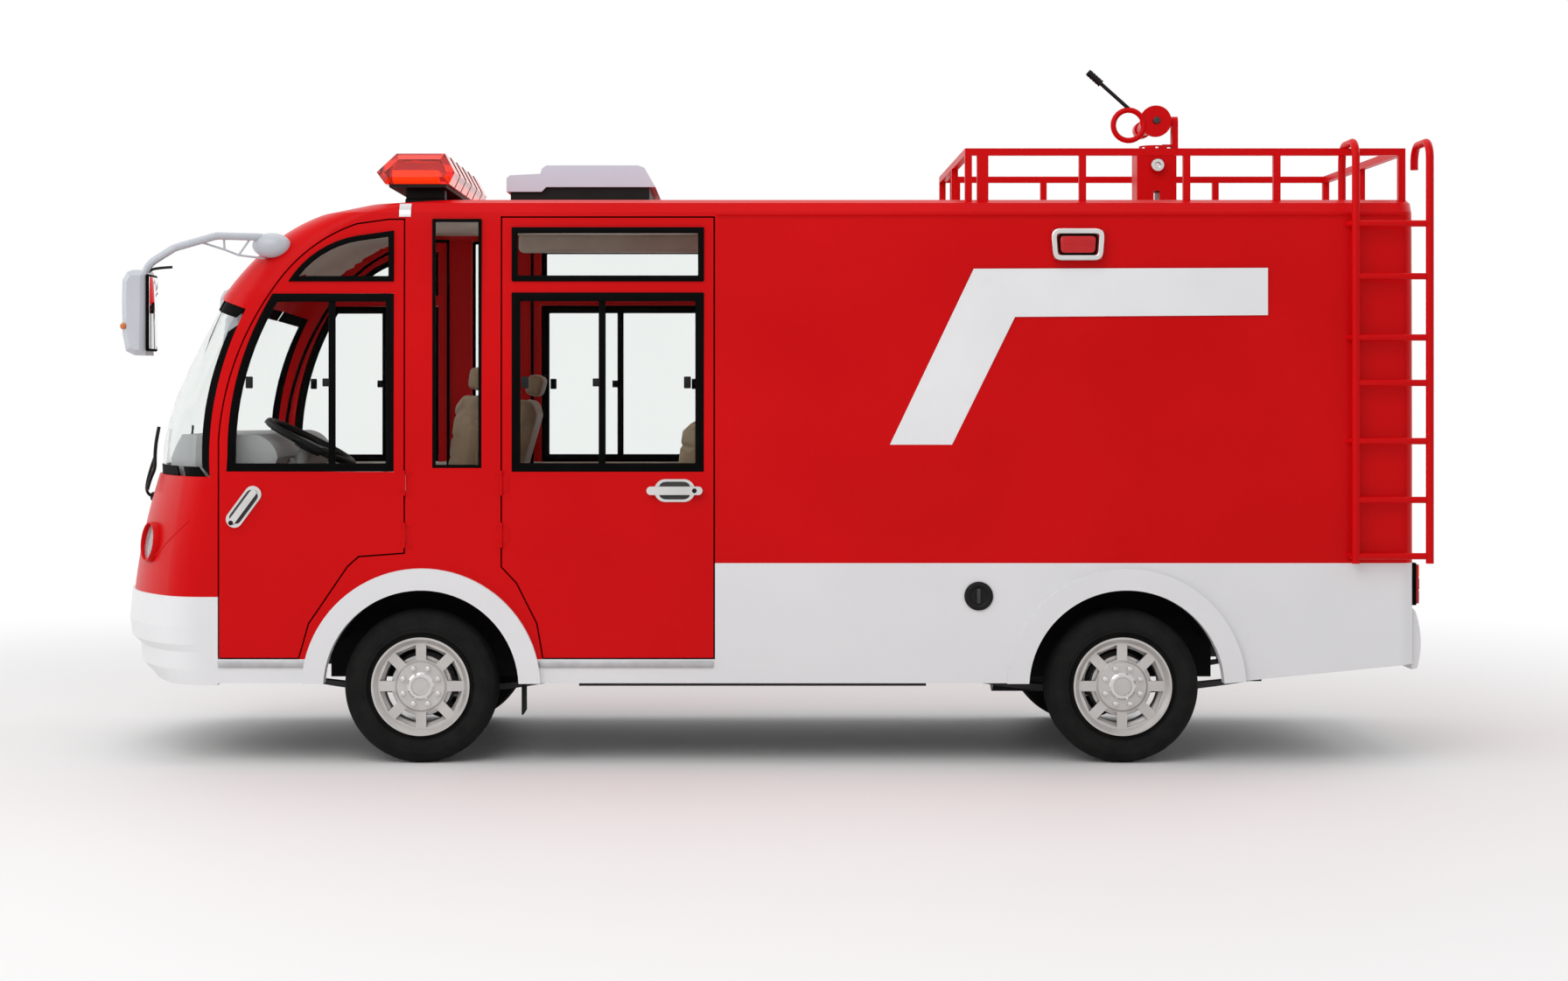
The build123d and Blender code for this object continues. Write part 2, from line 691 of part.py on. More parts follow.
steering_plane = Plane(origin=wheel_centre, x_dir=(0, 1, 0), z_dir=column_axis)
steering_wheel = steering_plane * Torus(steering_radius - grip_radius, grip_radius)
horn = steering_plane * Pos(0, 0, -horn_deep / 2) * Cylinder(horn_radius, horn_deep)
steering_wheel = steering_wheel.fuse(horn)
spoke_mid = (horn_radius + steering_radius - grip_radius) / 2
spoke_long = steering_radius - grip_radius - horn_radius + spoke_width
for turn in spoke_angles:
    spoke = Pos(spoke_mid, 0, -grip_radius / 2) * Box(spoke_long, spoke_width, spoke_thick)
    steering_wheel = steering_wheel.fuse(steering_plane * Rot(0, 0, turn) * spoke)
save(steering_wheel, "steering_wheel")

# Chassis: two channel rails and their cross members
rail_y = 330.0
rail_width = 60.0
rail_depth = 80.0
rail_wall = 6.0
rail_ahead = 900.0
rail_rear_gap = 80.0
member_long = 60.0
member_lap = 20.0
member_nose = 860.0
member_spring = 250.0
member_middle = 320.0
member_tank = 619.0
member_hanger = 411.0
member_tail = 961.0
rail_low_z = floor_z - rail_depth
rail = block(front_axle_x - rail_ahead, rear_face_x - rail_rear_gap, -rail_y - rail_width / 2,
             rail_width / 2 - rail_y, rail_low_z, floor_z)
rail = rail - block(front_axle_x - rail_ahead - seam_lap, rear_face_x, rail_wall - rail_y - rail_width / 2,
                    rail_width / 2 - rail_y + seam_lap, rail_low_z + rail_wall, floor_z - rail_wall)
chassis = rail.fuse(mirrored(rail))
member_half = rail_y - rail_width / 2 + rail_wall + member_lap
for x in (front_axle_x - member_nose, front_axle_x - member_spring, front_axle_x + member_middle,
          rear_axle_x - member_tank, rear_axle_x + member_hanger, rear_axle_x + member_tail):
    chassis = chassis.fuse(block(x, x + member_long, -member_half, member_half,
                                 rail_low_z + rail_wall / 2, floor_z - rail_wall / 2))

# Leaf springs: an arc of leaves under each axle, its eyes between the hangers' cheeks
axle_tube = 38.0
spring_width = 50.0
spring_thick = 28.0
spring_tip = 14.0
front_spring_reach = 500.0
rear_spring_reach = 560.0
eye_radius = 20.0
eye_z = 290.0
cheek_thick = 8.0
cheek_top_half = 35.0
cheek_low_half = 22.0
cheek_lap = 10.0
cheek_drop = 24.0
springs = []
for x, reach in ((front_axle_x, front_spring_reach), (rear_axle_x, rear_spring_reach)):
    top, tip_z = hub_z - axle_tube - seat_gap, eye_z - eye_radius
    low = -rail_y - spring_width / 2
    spring = side_cut([
        (x - reach, tip_z), ((x, top - spring_thick), (x + reach, tip_z)),
        (x + reach, tip_z + spring_tip), ((x, top), (x - reach, tip_z + spring_tip)),
    ], 0.0, low, low + spring_width)
    for end in (x - reach, x + reach):
        spring = spring.fuse(side_disc(end, eye_z, eye_radius, low, low + spring_width))
        for cheek in (low - seat_gap - cheek_thick, low + spring_width + seat_gap):
            plate = side_cut([
                (end - cheek_top_half, rail_low_z + cheek_lap),
                (end + cheek_top_half, rail_low_z + cheek_lap),
                (end + cheek_low_half, eye_z - cheek_drop), (end - cheek_low_half, eye_z - cheek_drop),
            ], 0.0, cheek, cheek + cheek_thick)
            chassis = chassis.fuse(plate).fuse(mirrored(plate))
    springs += both_sides(spring)
save(solids_of(springs), "leaf_springs")
save(chassis, "chassis_frame")

# Front axle beam, with a boss for each kingpin
kingpin_inset = 108.0
kingpin_radius = 15.0
boss_radius = 32.0
boss_half = 45.0
beam_half_wide = 30.0
beam_half_tall = 38.0
beam_web_half = 8.0
beam_flange = 16.0
beam_taper = 6.0
kingpin_y = track / 2 - kingpin_inset
beam_neck = beam_half_tall - beam_flange
beam_half_outline = (
    (beam_half_wide, -beam_half_tall), (beam_half_wide, -beam_neck), (beam_web_half, beam_taper - beam_neck),
    (beam_web_half, beam_neck - beam_taper), (beam_half_wide, beam_neck), (beam_half_wide, beam_half_tall),
)
beam_outline = [(front_axle_x + x, hub_z + z) for x, z in beam_half_outline]
beam_outline += [(front_axle_x - x, hub_z + z) for x, z in reversed(beam_half_outline)]
front_axle = side_cut(beam_outline, 0.0, -kingpin_y, kingpin_y)
for y in (-kingpin_y, kingpin_y):
    front_axle = front_axle - upright(front_axle_x, y, hub_z - boss_half, hub_z + boss_half, boss_radius)
    front_axle = front_axle.fuse(upright(front_axle_x, y, hub_z - boss_half, hub_z + boss_half, boss_radius))
    front_axle = front_axle - upright(front_axle_x, y, 0, roof_height, kingpin_radius + running_fit)
save(front_axle, "front_axle")

# Rear axle with its drive motor, brake plates and spindles
plate_inset = 52.0
plate_thick = 7.0
plate_radius = 120.0
spindle_out = 40.0
gear_radius = 118.0
motor_radius = 95.0
motor_far = 420.0
motor_near = 60.0
plate_y = track / 2 - plate_inset
spindle_end_y = track / 2 + spindle_out
rear_axle = rod((rear_axle_x, -plate_y, hub_z), (rear_axle_x, plate_y, hub_z), axle_tube)
rear_axle = rear_axle.fuse(Pos(rear_axle_x, 0, hub_z) * Sphere(gear_radius))
motor = rod((rear_axle_x - motor_far, 0, hub_z), (rear_axle_x - motor_near, 0, hub_z), motor_radius)
rear_axle = rear_axle.fuse(motor)


def brake_plate(x):
    """The left wheel's brake plate and spindle."""
    plate = side_disc(x, hub_z, plate_radius, -plate_y - plate_thick, -plate_y)
    return plate.fuse(side_disc(x, hub_z, spindle_radius, -spindle_end_y, -plate_y))


rear_plate = brake_plate(rear_axle_x)
rear_axle = rear_axle.fuse(rear_plate).fuse(mirrored(rear_plate))
save(rear_axle, "rear_axle")

# Knuckles, with a kingpin, a brake plate, a spindle and a steering arm with its ball pin
lug_thick = 22.0
face_thick = 14.0
face_half = 45.0
arm_back = 110.0
arm_half = 11.0
arm_thick = 14.0
arm_drop = 92.0
arm_post_half = 20.0
ball_radius = 9.0
ball_long = 24.0
tie_radius = 10.0
tie_eye_radius = 14.0
tie_eye_long = 20.0
arm_z = hub_z - arm_drop
ball_x, ball_y = front_axle_x + arm_back, kingpin_y
tie_z = arm_z - arm_thick
knuckle = upright(front_axle_x, -kingpin_y, hub_z - boss_half - lug_thick, hub_z + boss_half + lug_thick,
                  kingpin_radius)
for low in (hub_z - boss_half - seat_gap - lug_thick, hub_z + boss_half + seat_gap):
    lug = upright(front_axle_x, -kingpin_y, low, low + lug_thick, boss_radius)
    bridge = block(front_axle_x - boss_radius, front_axle_x + boss_radius, -plate_y, -kingpin_y,
                   low, low + lug_thick)
    knuckle = knuckle.fuse(lug).fuse(bridge)
face_tall = boss_half + lug_thick + seat_gap
knuckle = knuckle.fuse(block(front_axle_x - face_half, front_axle_x + face_half, -plate_y,
                             face_thick - plate_y, hub_z - face_tall, hub_z + face_tall))
knuckle = knuckle.fuse(brake_plate(front_axle_x))
knuckle = knuckle.fuse(block(front_axle_x, ball_x + arm_half, -kingpin_y - arm_half, arm_half - kingpin_y,
                             arm_z, arm_z + arm_thick))
knuckle = knuckle.fuse(block(front_axle_x - arm_post_half, front_axle_x + arm_post_half,
                             -kingpin_y - arm_post_half, arm_post_half - kingpin_y, arm_z,
                             hub_z - boss_half - lug_thick / 2))
knuckle = knuckle.fuse(upright(ball_x, -ball_y, arm_z - ball_long, arm_z + seam_lap, ball_radius))
save(knuckle, "knuckle_left")
save(mirrored(knuckle), "knuckle_right")

tie_rod = rod((ball_x, -ball_y, tie_z), (ball_x, ball_y, tie_z), tie_radius)
for y in (-ball_y, ball_y):
    eye = upright(ball_x, y, tie_z - tie_eye_long / 2, tie_z + tie_eye_long / 2, tie_eye_radius)
    tie_rod = tie_rod.fuse(eye)
for y in (-ball_y, ball_y):
    bore = upright(ball_x, y, tie_z - tie_eye_long, tie_z + tie_eye_long, ball_radius + running_fit)
    tie_rod = tie_rod - bore
save(tie_rod, "tie_rod")

# Tyres: a flat tread with round shoulders, bulged walls and beads inside the rim's flanges
tyre_shoulder = 26.0
bead_inset = 12.3
tread_inset = 40.0
shoulder_drop = 9.0
shoulder_inset = 22.0
wall_top_inset = 14.0
wall_low_inset = 8.0
bead_stand = 4.0
wall_low_stand = 14.0
half_tyre = tyre_width / 2
bead_half = rim_width / 2 - bead_inset
tyre_section = [
    (-bead_half, rim_radius + seat_gap), (-bead_half, rim_lip + bead_stand),
    (wall_low_inset - half_tyre, rim_lip + wall_low_stand),
    ((-half_tyre, (rim_radius + tyre_radius) / 2), (wall_top_inset - half_tyre, tyre_radius - tyre_shoulder)),
    ((shoulder_inset - half_tyre, tyre_radius - shoulder_drop), (tread_inset - half_tyre, tyre_radius)),
    (half_tyre - tread_inset, tyre_radius),
    ((half_tyre - shoulder_inset, tyre_radius - shoulder_drop),
     (half_tyre - wall_top_inset, tyre_radius - tyre_shoulder)),
    ((half_tyre, (rim_radius + tyre_radius) / 2), (half_tyre - wall_low_inset, rim_lip + wall_low_stand)),
    (bead_half, rim_lip + bead_stand), (bead_half, rim_radius + seat_gap),
]

# Rims: a drop-centre barrel, an eight-spoke disc near its outer edge, hub, drum and cap
spoke_count = 8
spoke_wide = 38.0
window_inner_radius = 100.0
window_outer_radius = 154.0
rim_wall = 7.0
flange_thick = 8.0
well_drop = 22.0
bead_seat_near = 12.0
bead_seat_far = 34.0
well_slope = 10.0
disc_half = 6.0
disc_out = 47.0
hub_boss_radius = 88.0
hub_boss_out = 8.0
hub_inner = 38.0
drum_radius = 112.0
drum_wall = 10.0
drum_out = 30.0
cap_out = 68.0
cap_top_radius = 34.0
cap_wall = 6.0
bead, well = rim_radius, rim_radius - well_drop
half_rim = rim_width / 2
rim_half_section = (
    # in from the edge, radius
    (0.0, rim_lip), (flange_thick, rim_lip), (bead_seat_near, bead), (bead_seat_far, bead),
    (bead_seat_far + well_slope, well),
)
rim_inner_section = (
    (bead_seat_far + well_slope + rim_wall / 2, well - rim_wall),
    (bead_seat_far - rim_wall / 2, bead - rim_wall),
    (bead_seat_near + rim_wall / 2, bead - rim_wall), (0.0, rim_lip - rim_wall),
)


def wheel_rim(x, y, out):
    """A rim for a wheel at x, y. Out is -1 or 1, towards the wheel's outer face."""
    section = [(inset - half_rim, radius) for inset, radius in rim_half_section]
    section += [(half_rim - inset, radius) for inset, radius in reversed(rim_half_section)]
    section += [(half_rim - inset, radius) for inset, radius in reversed(rim_inner_section)]
    section += [(inset - half_rim, radius) for inset, radius in rim_inner_section]
    rim = turned(section, x, y, hub_z)
    bore = spindle_radius + running_fit
    face, boss = out * (disc_out - disc_half), out * (disc_out + disc_half)
    disc = turned([(face, bore), (face, bead - rim_wall / 2), (boss, bead - rim_wall / 2),
                   (boss, hub_boss_radius + hub_boss_out), (boss + out * hub_boss_out, hub_boss_radius),
                   (boss + out * hub_boss_out, bore)], x, y, hub_z)
    for count in range(spoke_count):
        middle = (2 * count + 1) * pi / spoke_count
        corners = []
        for radius, way in ((window_inner_radius, -1), (window_outer_radius, -1),
                            (window_outer_radius, 1), (window_inner_radius, 1)):
            turn = middle + way * (pi / spoke_count - asin(spoke_wide / 2 / radius))
            corners.append((x + radius * sin(turn), hub_z - radius * cos(turn)))
        disc = disc - side_cut(corners, 0.0, y - half_rim, y + half_rim)
    hub = turned([(face, bore), (face, hub_radius), (-out * hub_inner, hub_radius), (-out * hub_inner, bore)],
                 x, y, hub_z)
    drum_face = out * drum_out
    drum = turned([
        (drum_face, hub_radius - seam_lap), (drum_face, drum_radius), (-out * hub_inner, drum_radius),
        (-out * hub_inner, drum_radius - drum_wall), (drum_face - out * drum_wall, drum_radius - drum_wall),
        (drum_face - out * drum_wall, hub_radius - seam_lap),
    ], x, y, hub_z)
    cap_base = boss + out * (hub_boss_out - seam_lap)
    cap = turned([(cap_base, 0.0), (out * cap_out, 0.0), (out * cap_out, cap_top_radius),
                  (cap_base, hub_radius)], x, y, hub_z)
    hollow = sorted((y - out * hub_inner, y + out * (cap_out - cap_wall)))
    return rim.fuse(disc).fuse(hub).fuse(drum).fuse(cap) - side_disc(x, hub_z, bore, *hollow)


for place, x in (("front", front_axle_x), ("rear", rear_axle_x)):
    for side, out in (("left", -1), ("right", 1)):
        save(turned(tyre_section, x, out * track / 2, hub_z), f"tyre_{place}_{side}")
        save(wheel_rim(x, out * track / 2, out), f"rim_{place}_{side}")

# Heavy blocks: the battery pack between the rails and the water tank behind the bulkhead
battery_front = 561.0
battery_rear = 1901.0
battery_half = 290.0
battery_drop = 200.0
tank_gap = 20.0
tank_long = 630.0
tank_half = 600.0
tank_top_z = 1250.0
battery = block(front_axle_x + battery_front, front_axle_x + battery_rear, -battery_half, battery_half,
                floor_z - battery_drop, floor_z)
save(battery, "battery_pack")
tank_x = box_start_x + body_wall + tank_gap
save(block(tank_x, tank_x + tank_long, -tank_half, tank_half, floor_top_z, tank_top_z), "water_tank")

# Red lamps: side markers near the roof and upright tail lamps
marker_ahead = 269.0
marker_long = 193.0
marker_drop = 227.0
marker_tall = 110.0
marker_stand = 24.0
marker_deep = 20.0
tail_low_z = 590.0
tail_tall = 145.0
tail_wide = 100.0
tail_inset = 50.0
tail_deep = 24.0
marker_shares = ((0.04, 0.0), (0.0, 1.0), (1.0, 1.0), (0.96, 0.0))
marker_x, marker_z = rear_axle_x - marker_ahead, roof_height - marker_drop
marker_outline = [(marker_x + across * marker_long, marker_z + up * marker_tall)
                  for across, up in marker_shares]
marker = side_cut(marker_outline, 0.0, -half_width - marker_stand, marker_deep - half_width) - outer_form
tail_lamp = block(rear_face_x, rear_face_x + tail_deep, tail_inset - half_width,
                  tail_inset + tail_wide - half_width, tail_low_z, tail_low_z + tail_tall)
save(solids_of(both_sides(marker), both_sides(tail_lamp)), "red_lamps")

# Light bar across the roof: a faceted lens on a thin metal tray with two feet
bar_ahead = 175.0
bar_long = 292.0
bar_half = 650.0
bar_clear = 50.0
bar_tray_tall = 12.0
bar_lens_tall = 114.0
bar_end_edge = 24.0
bar_tray_in = 30.0
bar_foot_y = 480.0
bar_foot_half = 30.0
bar_foot_sink = 60.0
bar_lens_shares = ((0.11, 0.0), (0.0, 0.386), (0.257, 1.0), (0.873, 1.0), (1.0, 0.386), (0.928, 0.0))
bar_tray_shares = (0.158, 0.884)
bar_foot_shares = (0.329, 0.829)
bar_x = front_axle_x - bar_ahead
bar_tray_z = roof_height + bar_clear
bar_lens_z = bar_tray_z + bar_tray_tall
bar_tray = block(bar_x + bar_tray_shares[0] * bar_long, bar_x + bar_tray_shares[1] * bar_long,
                 bar_tray_in - bar_half, bar_half - bar_tray_in, bar_tray_z, bar_lens_z)
bar_foot = block(bar_x + bar_foot_shares[0] * bar_long, bar_x + bar_foot_shares[1] * bar_long,
                 -bar_foot_y - bar_foot_half, bar_foot_half - bar_foot_y,
                 roof_height - bar_foot_sink, bar_tray_z)
bar_foot = bar_foot - outer_form
save(bar_tray.fuse(bar_foot).fuse(mirrored(bar_foot)), "light_bar_base")
bar_outline = [(bar_x + across * bar_long, bar_lens_z + up * bar_lens_tall) for across, up in bar_lens_shares]
bar_lens = side_cut(bar_outline, 0.0, -bar_half, bar_half)
end_faces = (bar_lens.faces().sort_by(Axis.Y)[0], bar_lens.faces().sort_by(Axis.Y)[-1])
bar_lens = chamfer([edge for face in end_faces for edge in face.edges()], bar_end_edge)
save(bar_lens, "light_bar_lens")

# Roof vent: a white hood in two steps, over a dark base
vent_behind = 286.0
vent_long = 572.0
vent_rise = 54.0
hood_tall = 101.0
hood_half = 350.0
vent_base_half = 335.0
hood_shares = (
    (0.0, 0.0), (0.0, 0.515), (0.023, 0.624), (0.227, 0.683), (0.236, 0.871), (0.267, 1.0), (0.883, 1.0),
    (0.925, 0.911), (1.0, 0.178), (0.266, 0.178), (0.236, 0.0),
)
vent_base_shares = (
    (0.026, -0.535), (0.026, 0.0), (0.236, 0.0), (0.266, 0.178), (0.958, 0.178), (0.958, -0.535),
)
vent_x, hood_z = front_axle_x + vent_behind, roof_height + vent_rise


def vent_cut(shares, half):
    """A piece of the vent from an outline in shares of the hood's length and height."""
    outline = [(vent_x + across * vent_long, hood_z + up * hood_tall) for across, up in shares]
    return side_cut(outline, 0.0, -half, half)


save(vent_cut(hood_shares, hood_half), "roof_vent")
save(vent_cut(vent_base_shares, vent_base_half) - outer_form, "vent_base")

# Roof rail: a square-tube fence with posts
rail_tube = 26.0
fence_gap = 16.0
fence_long = 1640.0
fence_y = 650.0
fence_height = 179.0
wide_post = 42.0
post_shares = (0.0402, 0.2671, 0.5037, 0.7085)
half_tube = rail_tube / 2
fence_rear_x = rear_face_x - fence_gap
fence_front_x = fence_rear_x - fence_long
fence_z = roof_height + fence_height
end_places = (fence_front_x + half_tube, fence_rear_x - half_tube)
roof_rail = block(end_places[0], end_places[1], -fence_y - half_tube, half_tube - fence_y,
                  fence_z - half_tube, fence_z + half_tube)
post_table = [(x, half_tube) for x in end_places]
post_table += [(fence_front_x + share * fence_long, half_tube) for share in post_shares]
post_table[2] = (post_table[2][0], wide_post / 2)
for x, half_post in post_table:
    post = block(x - half_post, x + half_post, -fence_y - half_tube, half_tube - fence_y,
                 roof_height - body_wall, fence_z)
    roof_rail = roof_rail.fuse(post)
roof_rail = roof_rail.fuse(mirrored(roof_rail))
for x in end_places:
    cross = block(x - half_tube, x + half_tube, -fence_y - half_tube, fence_y + half_tube,
                  fence_z - half_tube, fence_z + half_tube)
    roof_rail = roof_rail.fuse(cross)
    roof_rail = roof_rail.fuse(block(x - half_tube, x + half_tube, -half_tube, half_tube,
                                     roof_height - body_wall, fence_z))
save(roof_rail - outer_form, "roof_rail")

# Side ladder: two rails hooked over the roof rail, with rungs and stand-offs
ladder_tube = 14.5
ladder_out = 40.0
ladder_wide = 272.0
ladder_foot_z = 744.0
hook_y = 560.0
hook_bend = 60.0
hook_drop = 60.0
rung_radius = 12.0
standoff_radius = 11.0
standoff_run = 20.0
standoff_sink = 8.0
rung_shares = (0.0201, 0.1738, 0.3343, 0.4933, 0.6174, 0.7845, 0.9287)
ladder_y = -half_width - ladder_out
ladder_rear_x = half_length - ladder_tube
ladder_front_x = ladder_rear_x - ladder_wide
ladder_top_z = fence_z + half_tube + seat_gap + ladder_tube
ladder = None
for x, hook_end in ((ladder_front_x, roof_height + seat_gap), (ladder_rear_x, fence_z - hook_drop)):
    path = FilletPolyline([(x, ladder_y, ladder_foot_z), (x, ladder_y, ladder_top_z),
                           (x, -hook_y, ladder_top_z), (x, -hook_y, hook_end)], radius=hook_bend)
    section = Plane(origin=(x, ladder_y, ladder_foot_z), z_dir=(0, 0, 1)) * Circle(ladder_tube)
    tube = sweep(section, path=path)
    ladder = tube if ladder is None else ladder.fuse(tube)
for count, share in enumerate(rung_shares):
    z = ladder_foot_z + share * (roof_height - ladder_foot_z)
    ladder = ladder.fuse(rod((ladder_front_x, ladder_y, z), (ladder_rear_x, ladder_y, z), rung_radius))
    if count % 2 == 0:
        foot = (ladder_front_x - standoff_run, standoff_sink - half_width, z)
        ladder = ladder.fuse(rod((ladder_front_x, ladder_y, z), foot, standoff_radius))
save(ladder - outer_form, "side_ladder")

# Outside mirrors: a head on a bent tube that grows from a fairing on the brow, with a braced strut
arm_tube = 14.0
arm_bend = 70.0
strut_tube = 4.0
mirror_ahead = 1047.0
mirror_deep = 90.0
mirror_low_z = 1507.0
mirror_tall = 308.0
mirror_in = 70.0
mirror_wide = 170.0
mirror_edge = 20.0
fairing_ahead = 553.0
fairing_out = 705.0
fairing_z = 1918.0
fairing_long = 144.0
fairing_tall = 92.0
fairing_wide = 100.0
arm_point_shares = (
    # ahead of the front axle, out from the middle, height
    (0.4201, 0.853, 0.9163), (0.4862, 0.960, 0.9321), (0.6100, 1.067, 0.9321),
    (0.7255, 1.160, 0.9091), (0.7957, 1.207, 0.8804), (0.8081, 1.207, 0.8612),
)
strut_pair_shares = (
    ((0.6636, 1.098, 0.9220), (0.5902, 1.030, 0.9086)),
    ((0.5902, 1.030, 0.9086), (0.5514, 0.995, 0.8995)),
    ((0.5514, 0.995, 0.8995), (0.4800, 0.930, 0.8947)),
    ((0.5902, 1.030, 0.9086), (0.5902, 1.048, 0.9321)),
    ((0.5514, 0.995, 0.8995), (0.5175, 0.985, 0.9282)),
)
mirror_line_shares = ((0.02, 0.88), (0.0, 0.65), (0.02, 0.26), (0.16, 0.05), (0.51, 0.0), (0.955, 0.0),
                      (1.0, 0.95), (0.911, 1.0), (0.422, 1.0), (0.2, 0.975))


def cab_place(shares):
    """A place near the cab, from shares of the front overhang, half the body's width and the roof height."""
    ahead, out, up = shares
    return (front_axle_x - ahead * front_overhang, -out * half_width, up * roof_height)


arm_path = FilletPolyline([cab_place(shares) for shares in arm_point_shares], radius=arm_bend)
arm_start = Plane(origin=arm_path.position_at(0), z_dir=arm_path.tangent_at(0))
side_mirror = sweep(arm_start * Circle(arm_tube), path=arm_path)
for start, end in strut_pair_shares:
    side_mirror = side_mirror.fuse(rod(cab_place(start), cab_place(end), strut_tube))
mirror_x = front_axle_x - mirror_ahead
mirror_line = [(mirror_x + across * mirror_deep, mirror_low_z + up * mirror_tall)
               for across, up in mirror_line_shares]
mirror_y = -half_width - mirror_in
mirror_head = side_cut(mirror_line, 0.0, mirror_y - mirror_wide, mirror_y)
head_edges = mirror_head.faces().sort_by(Axis.Y)[0].edges() + mirror_head.faces().sort_by(Axis.Y)[-1].edges()
mirror_head = chamfer(head_edges, mirror_edge)
fairing_shape = (1.0, fairing_wide / fairing_long, fairing_tall / fairing_long)
fairing = scale(Sphere(fairing_long / 2), by=fairing_shape)
fairing = Pos(front_axle_x - fairing_ahead, -fairing_out, fairing_z) * fairing
side_mirror = side_mirror.fuse(mirror_head).fuse(fairing) - outer_form
side_mirror = max(side_mirror.solids(), key=lambda one: one.volume)
save(solids_of(both_sides(side_mirror)), "mirrors")

# Water monitor: stand with its hose port, swivelling head and tilting barrel
monitor_set = 805.0
stand_long = 156.0
stand_wide = 140.0
stand_tall = 230.0
stand_slot = 24.0
stand_slot_tall = 80.0
port_rise = 178.0
port_radius = 26.0
port_stand = 20.0
port_bore = 16.0
flange_radius = 80.0
flange_thick = 14.0
swivel_radius = 30.0
swivel_tall = 12.0
collar_radius = 60.0
collar_tall = 15.7
pivot_rise = 356.0
cheek_in = 68.0
cheek_thick = 24.0
cheek_half = 22.0
cheek_foot = 12.0
pivot_bore_share = 0.75
pivot_reach_share = 0.7
pivot_radius = 14.0
monitor_x = fence_front_x + monitor_set
stand_top_z = roof_height + stand_tall
pivot_z = roof_height + pivot_rise
stand = block(monitor_x - stand_long / 2, monitor_x + stand_long / 2, -stand_wide / 2, stand_wide / 2,
              roof_height, stand_top_z)
stand = stand - block(monitor_x - stand_slot / 2, monitor_x + stand_slot / 2, -stand_wide, stand_wide,
                      roof_height - cut_over, roof_height + stand_slot_tall)
port_end = -stand_wide / 2 - port_stand
stand = stand.fuse(side_disc(monitor_x, roof_height + port_rise, port_radius, port_end, -stand_wide / 2))
stand = stand - side_disc(monitor_x, roof_height + port_rise, port_bore, port_end - seam_lap, -stand_wide / 2)
stand = stand.fuse(upright(monitor_x, 0, stand_top_z, stand_top_z + flange_thick, flange_radius))
swivel_top_z = stand_top_z + flange_thick + swivel_tall
stand = stand.fuse(upright(monitor_x, 0, stand_top_z, swivel_top_z, swivel_radius))
save(stand, "monitor_stand")

collar_low_z = stand_top_z + flange_thick + seat_gap
collar_top_z = collar_low_z + collar_tall
cheek_x = monitor_x + cheek_in
head = upright(monitor_x, 0, collar_low_z, collar_top_z, collar_radius)
head = head - upright(monitor_x, 0, roof_height, swivel_top_z + seat_gap, swivel_radius + running_fit)
head = head.fuse(block(monitor_x + swivel_radius, cheek_x + cheek_thick, -cheek_half, cheek_half,
                       collar_top_z - cheek_foot / 4, collar_top_z + cheek_foot / 2))
head = head.fuse(block(cheek_x, cheek_x + cheek_thick, -cheek_half, cheek_half,
                       collar_top_z - cheek_foot, pivot_z))
head = head.fuse(rod((cheek_x, 0, pivot_z), (cheek_x + cheek_thick, 0, pivot_z), cheek_half))
head = head - rod((cheek_x - seam_lap, 0, pivot_z), (cheek_x + cheek_thick * pivot_bore_share, 0, pivot_z),
                  pivot_radius + running_fit)
save(head, "monitor_head")

# The barrel's profile, as places along it from the pivot, and radii
barrel_section = (
    ("rear_cap", -45.0, -30.0, 62.0, 62.0),
    ("body", -30.0, 70.0, 44.0, 44.0),
    ("taper", 70.0, 300.0, 40.0, 26.0),
    ("tip", 300.0, 360.0, 34.0, 34.0),
)
barrel_bore = 19.0
barrel_bore_start = 200.0
cap_bore = 12.0
cap_bore_deep = 9.0
guard_back = 107.0
guard_drop = 16.0
guard_y = 38.0
guard_radius = 60.0
guard_tube = 11.0
lever_radius = 6.5
lever_foot = (95.0, 40.0)
lever_top = (267.0, 194.0)
grip_long_share = 0.3
lever_grip_radius = 12.0


def along_y(x, z, y_low, y_high, radius, end_radius):
    """A round or tapered length of the barrel."""
    base = Plane(origin=(x, y_low, z), x_dir=(1, 0, 0), z_dir=(0, 1, 0))
    if radius == end_radius:
        return extrude(base * Circle(radius), amount=y_high - y_low)
    far = Plane(origin=(x, y_high, z), x_dir=(1, 0, 0), z_dir=(0, 1, 0))
    return loft([base * Circle(radius), far * Circle(end_radius)])


barrel = None
for name, y_low, y_high, radius, end_radius in barrel_section:
    piece = along_y(monitor_x, pivot_z, y_low, y_high, radius, end_radius)
    barrel = piece if barrel is None else barrel.fuse(piece)
muzzle_y, cap_y = barrel_section[-1][2], barrel_section[0][1]
barrel = barrel - side_disc(monitor_x, pivot_z, barrel_bore, barrel_bore_start, muzzle_y + seam_lap)
barrel = barrel - side_disc(monitor_x, pivot_z, cap_bore, cap_y - seam_lap, cap_y + cap_bore_deep)
pivot_end = (cheek_x + cheek_thick * pivot_reach_share, 0, pivot_z)
barrel = barrel.fuse(rod((monitor_x, 0, pivot_z), pivot_end, pivot_radius))
guard = Plane(origin=(monitor_x - guard_back, -guard_y, pivot_z - guard_drop), x_dir=(1, 0, 0), z_dir=(0, 1, 0))
barrel = barrel.fuse(guard * Torus(guard_radius, guard_tube))
lever_low = Vector(monitor_x - lever_foot[0], -guard_y, pivot_z + lever_foot[1])
lever_high = Vector(monitor_x - lever_top[0], -guard_y, pivot_z + lever_top[1])
grip_low = lever_high + (lever_low - lever_high) * grip_long_share
barrel = barrel.fuse(rod(tuple(lever_low), tuple(lever_high), lever_radius))
barrel = barrel.fuse(rod(tuple(grip_low), tuple(lever_high), lever_grip_radius))
save(barrel, "monitor_nozzle")

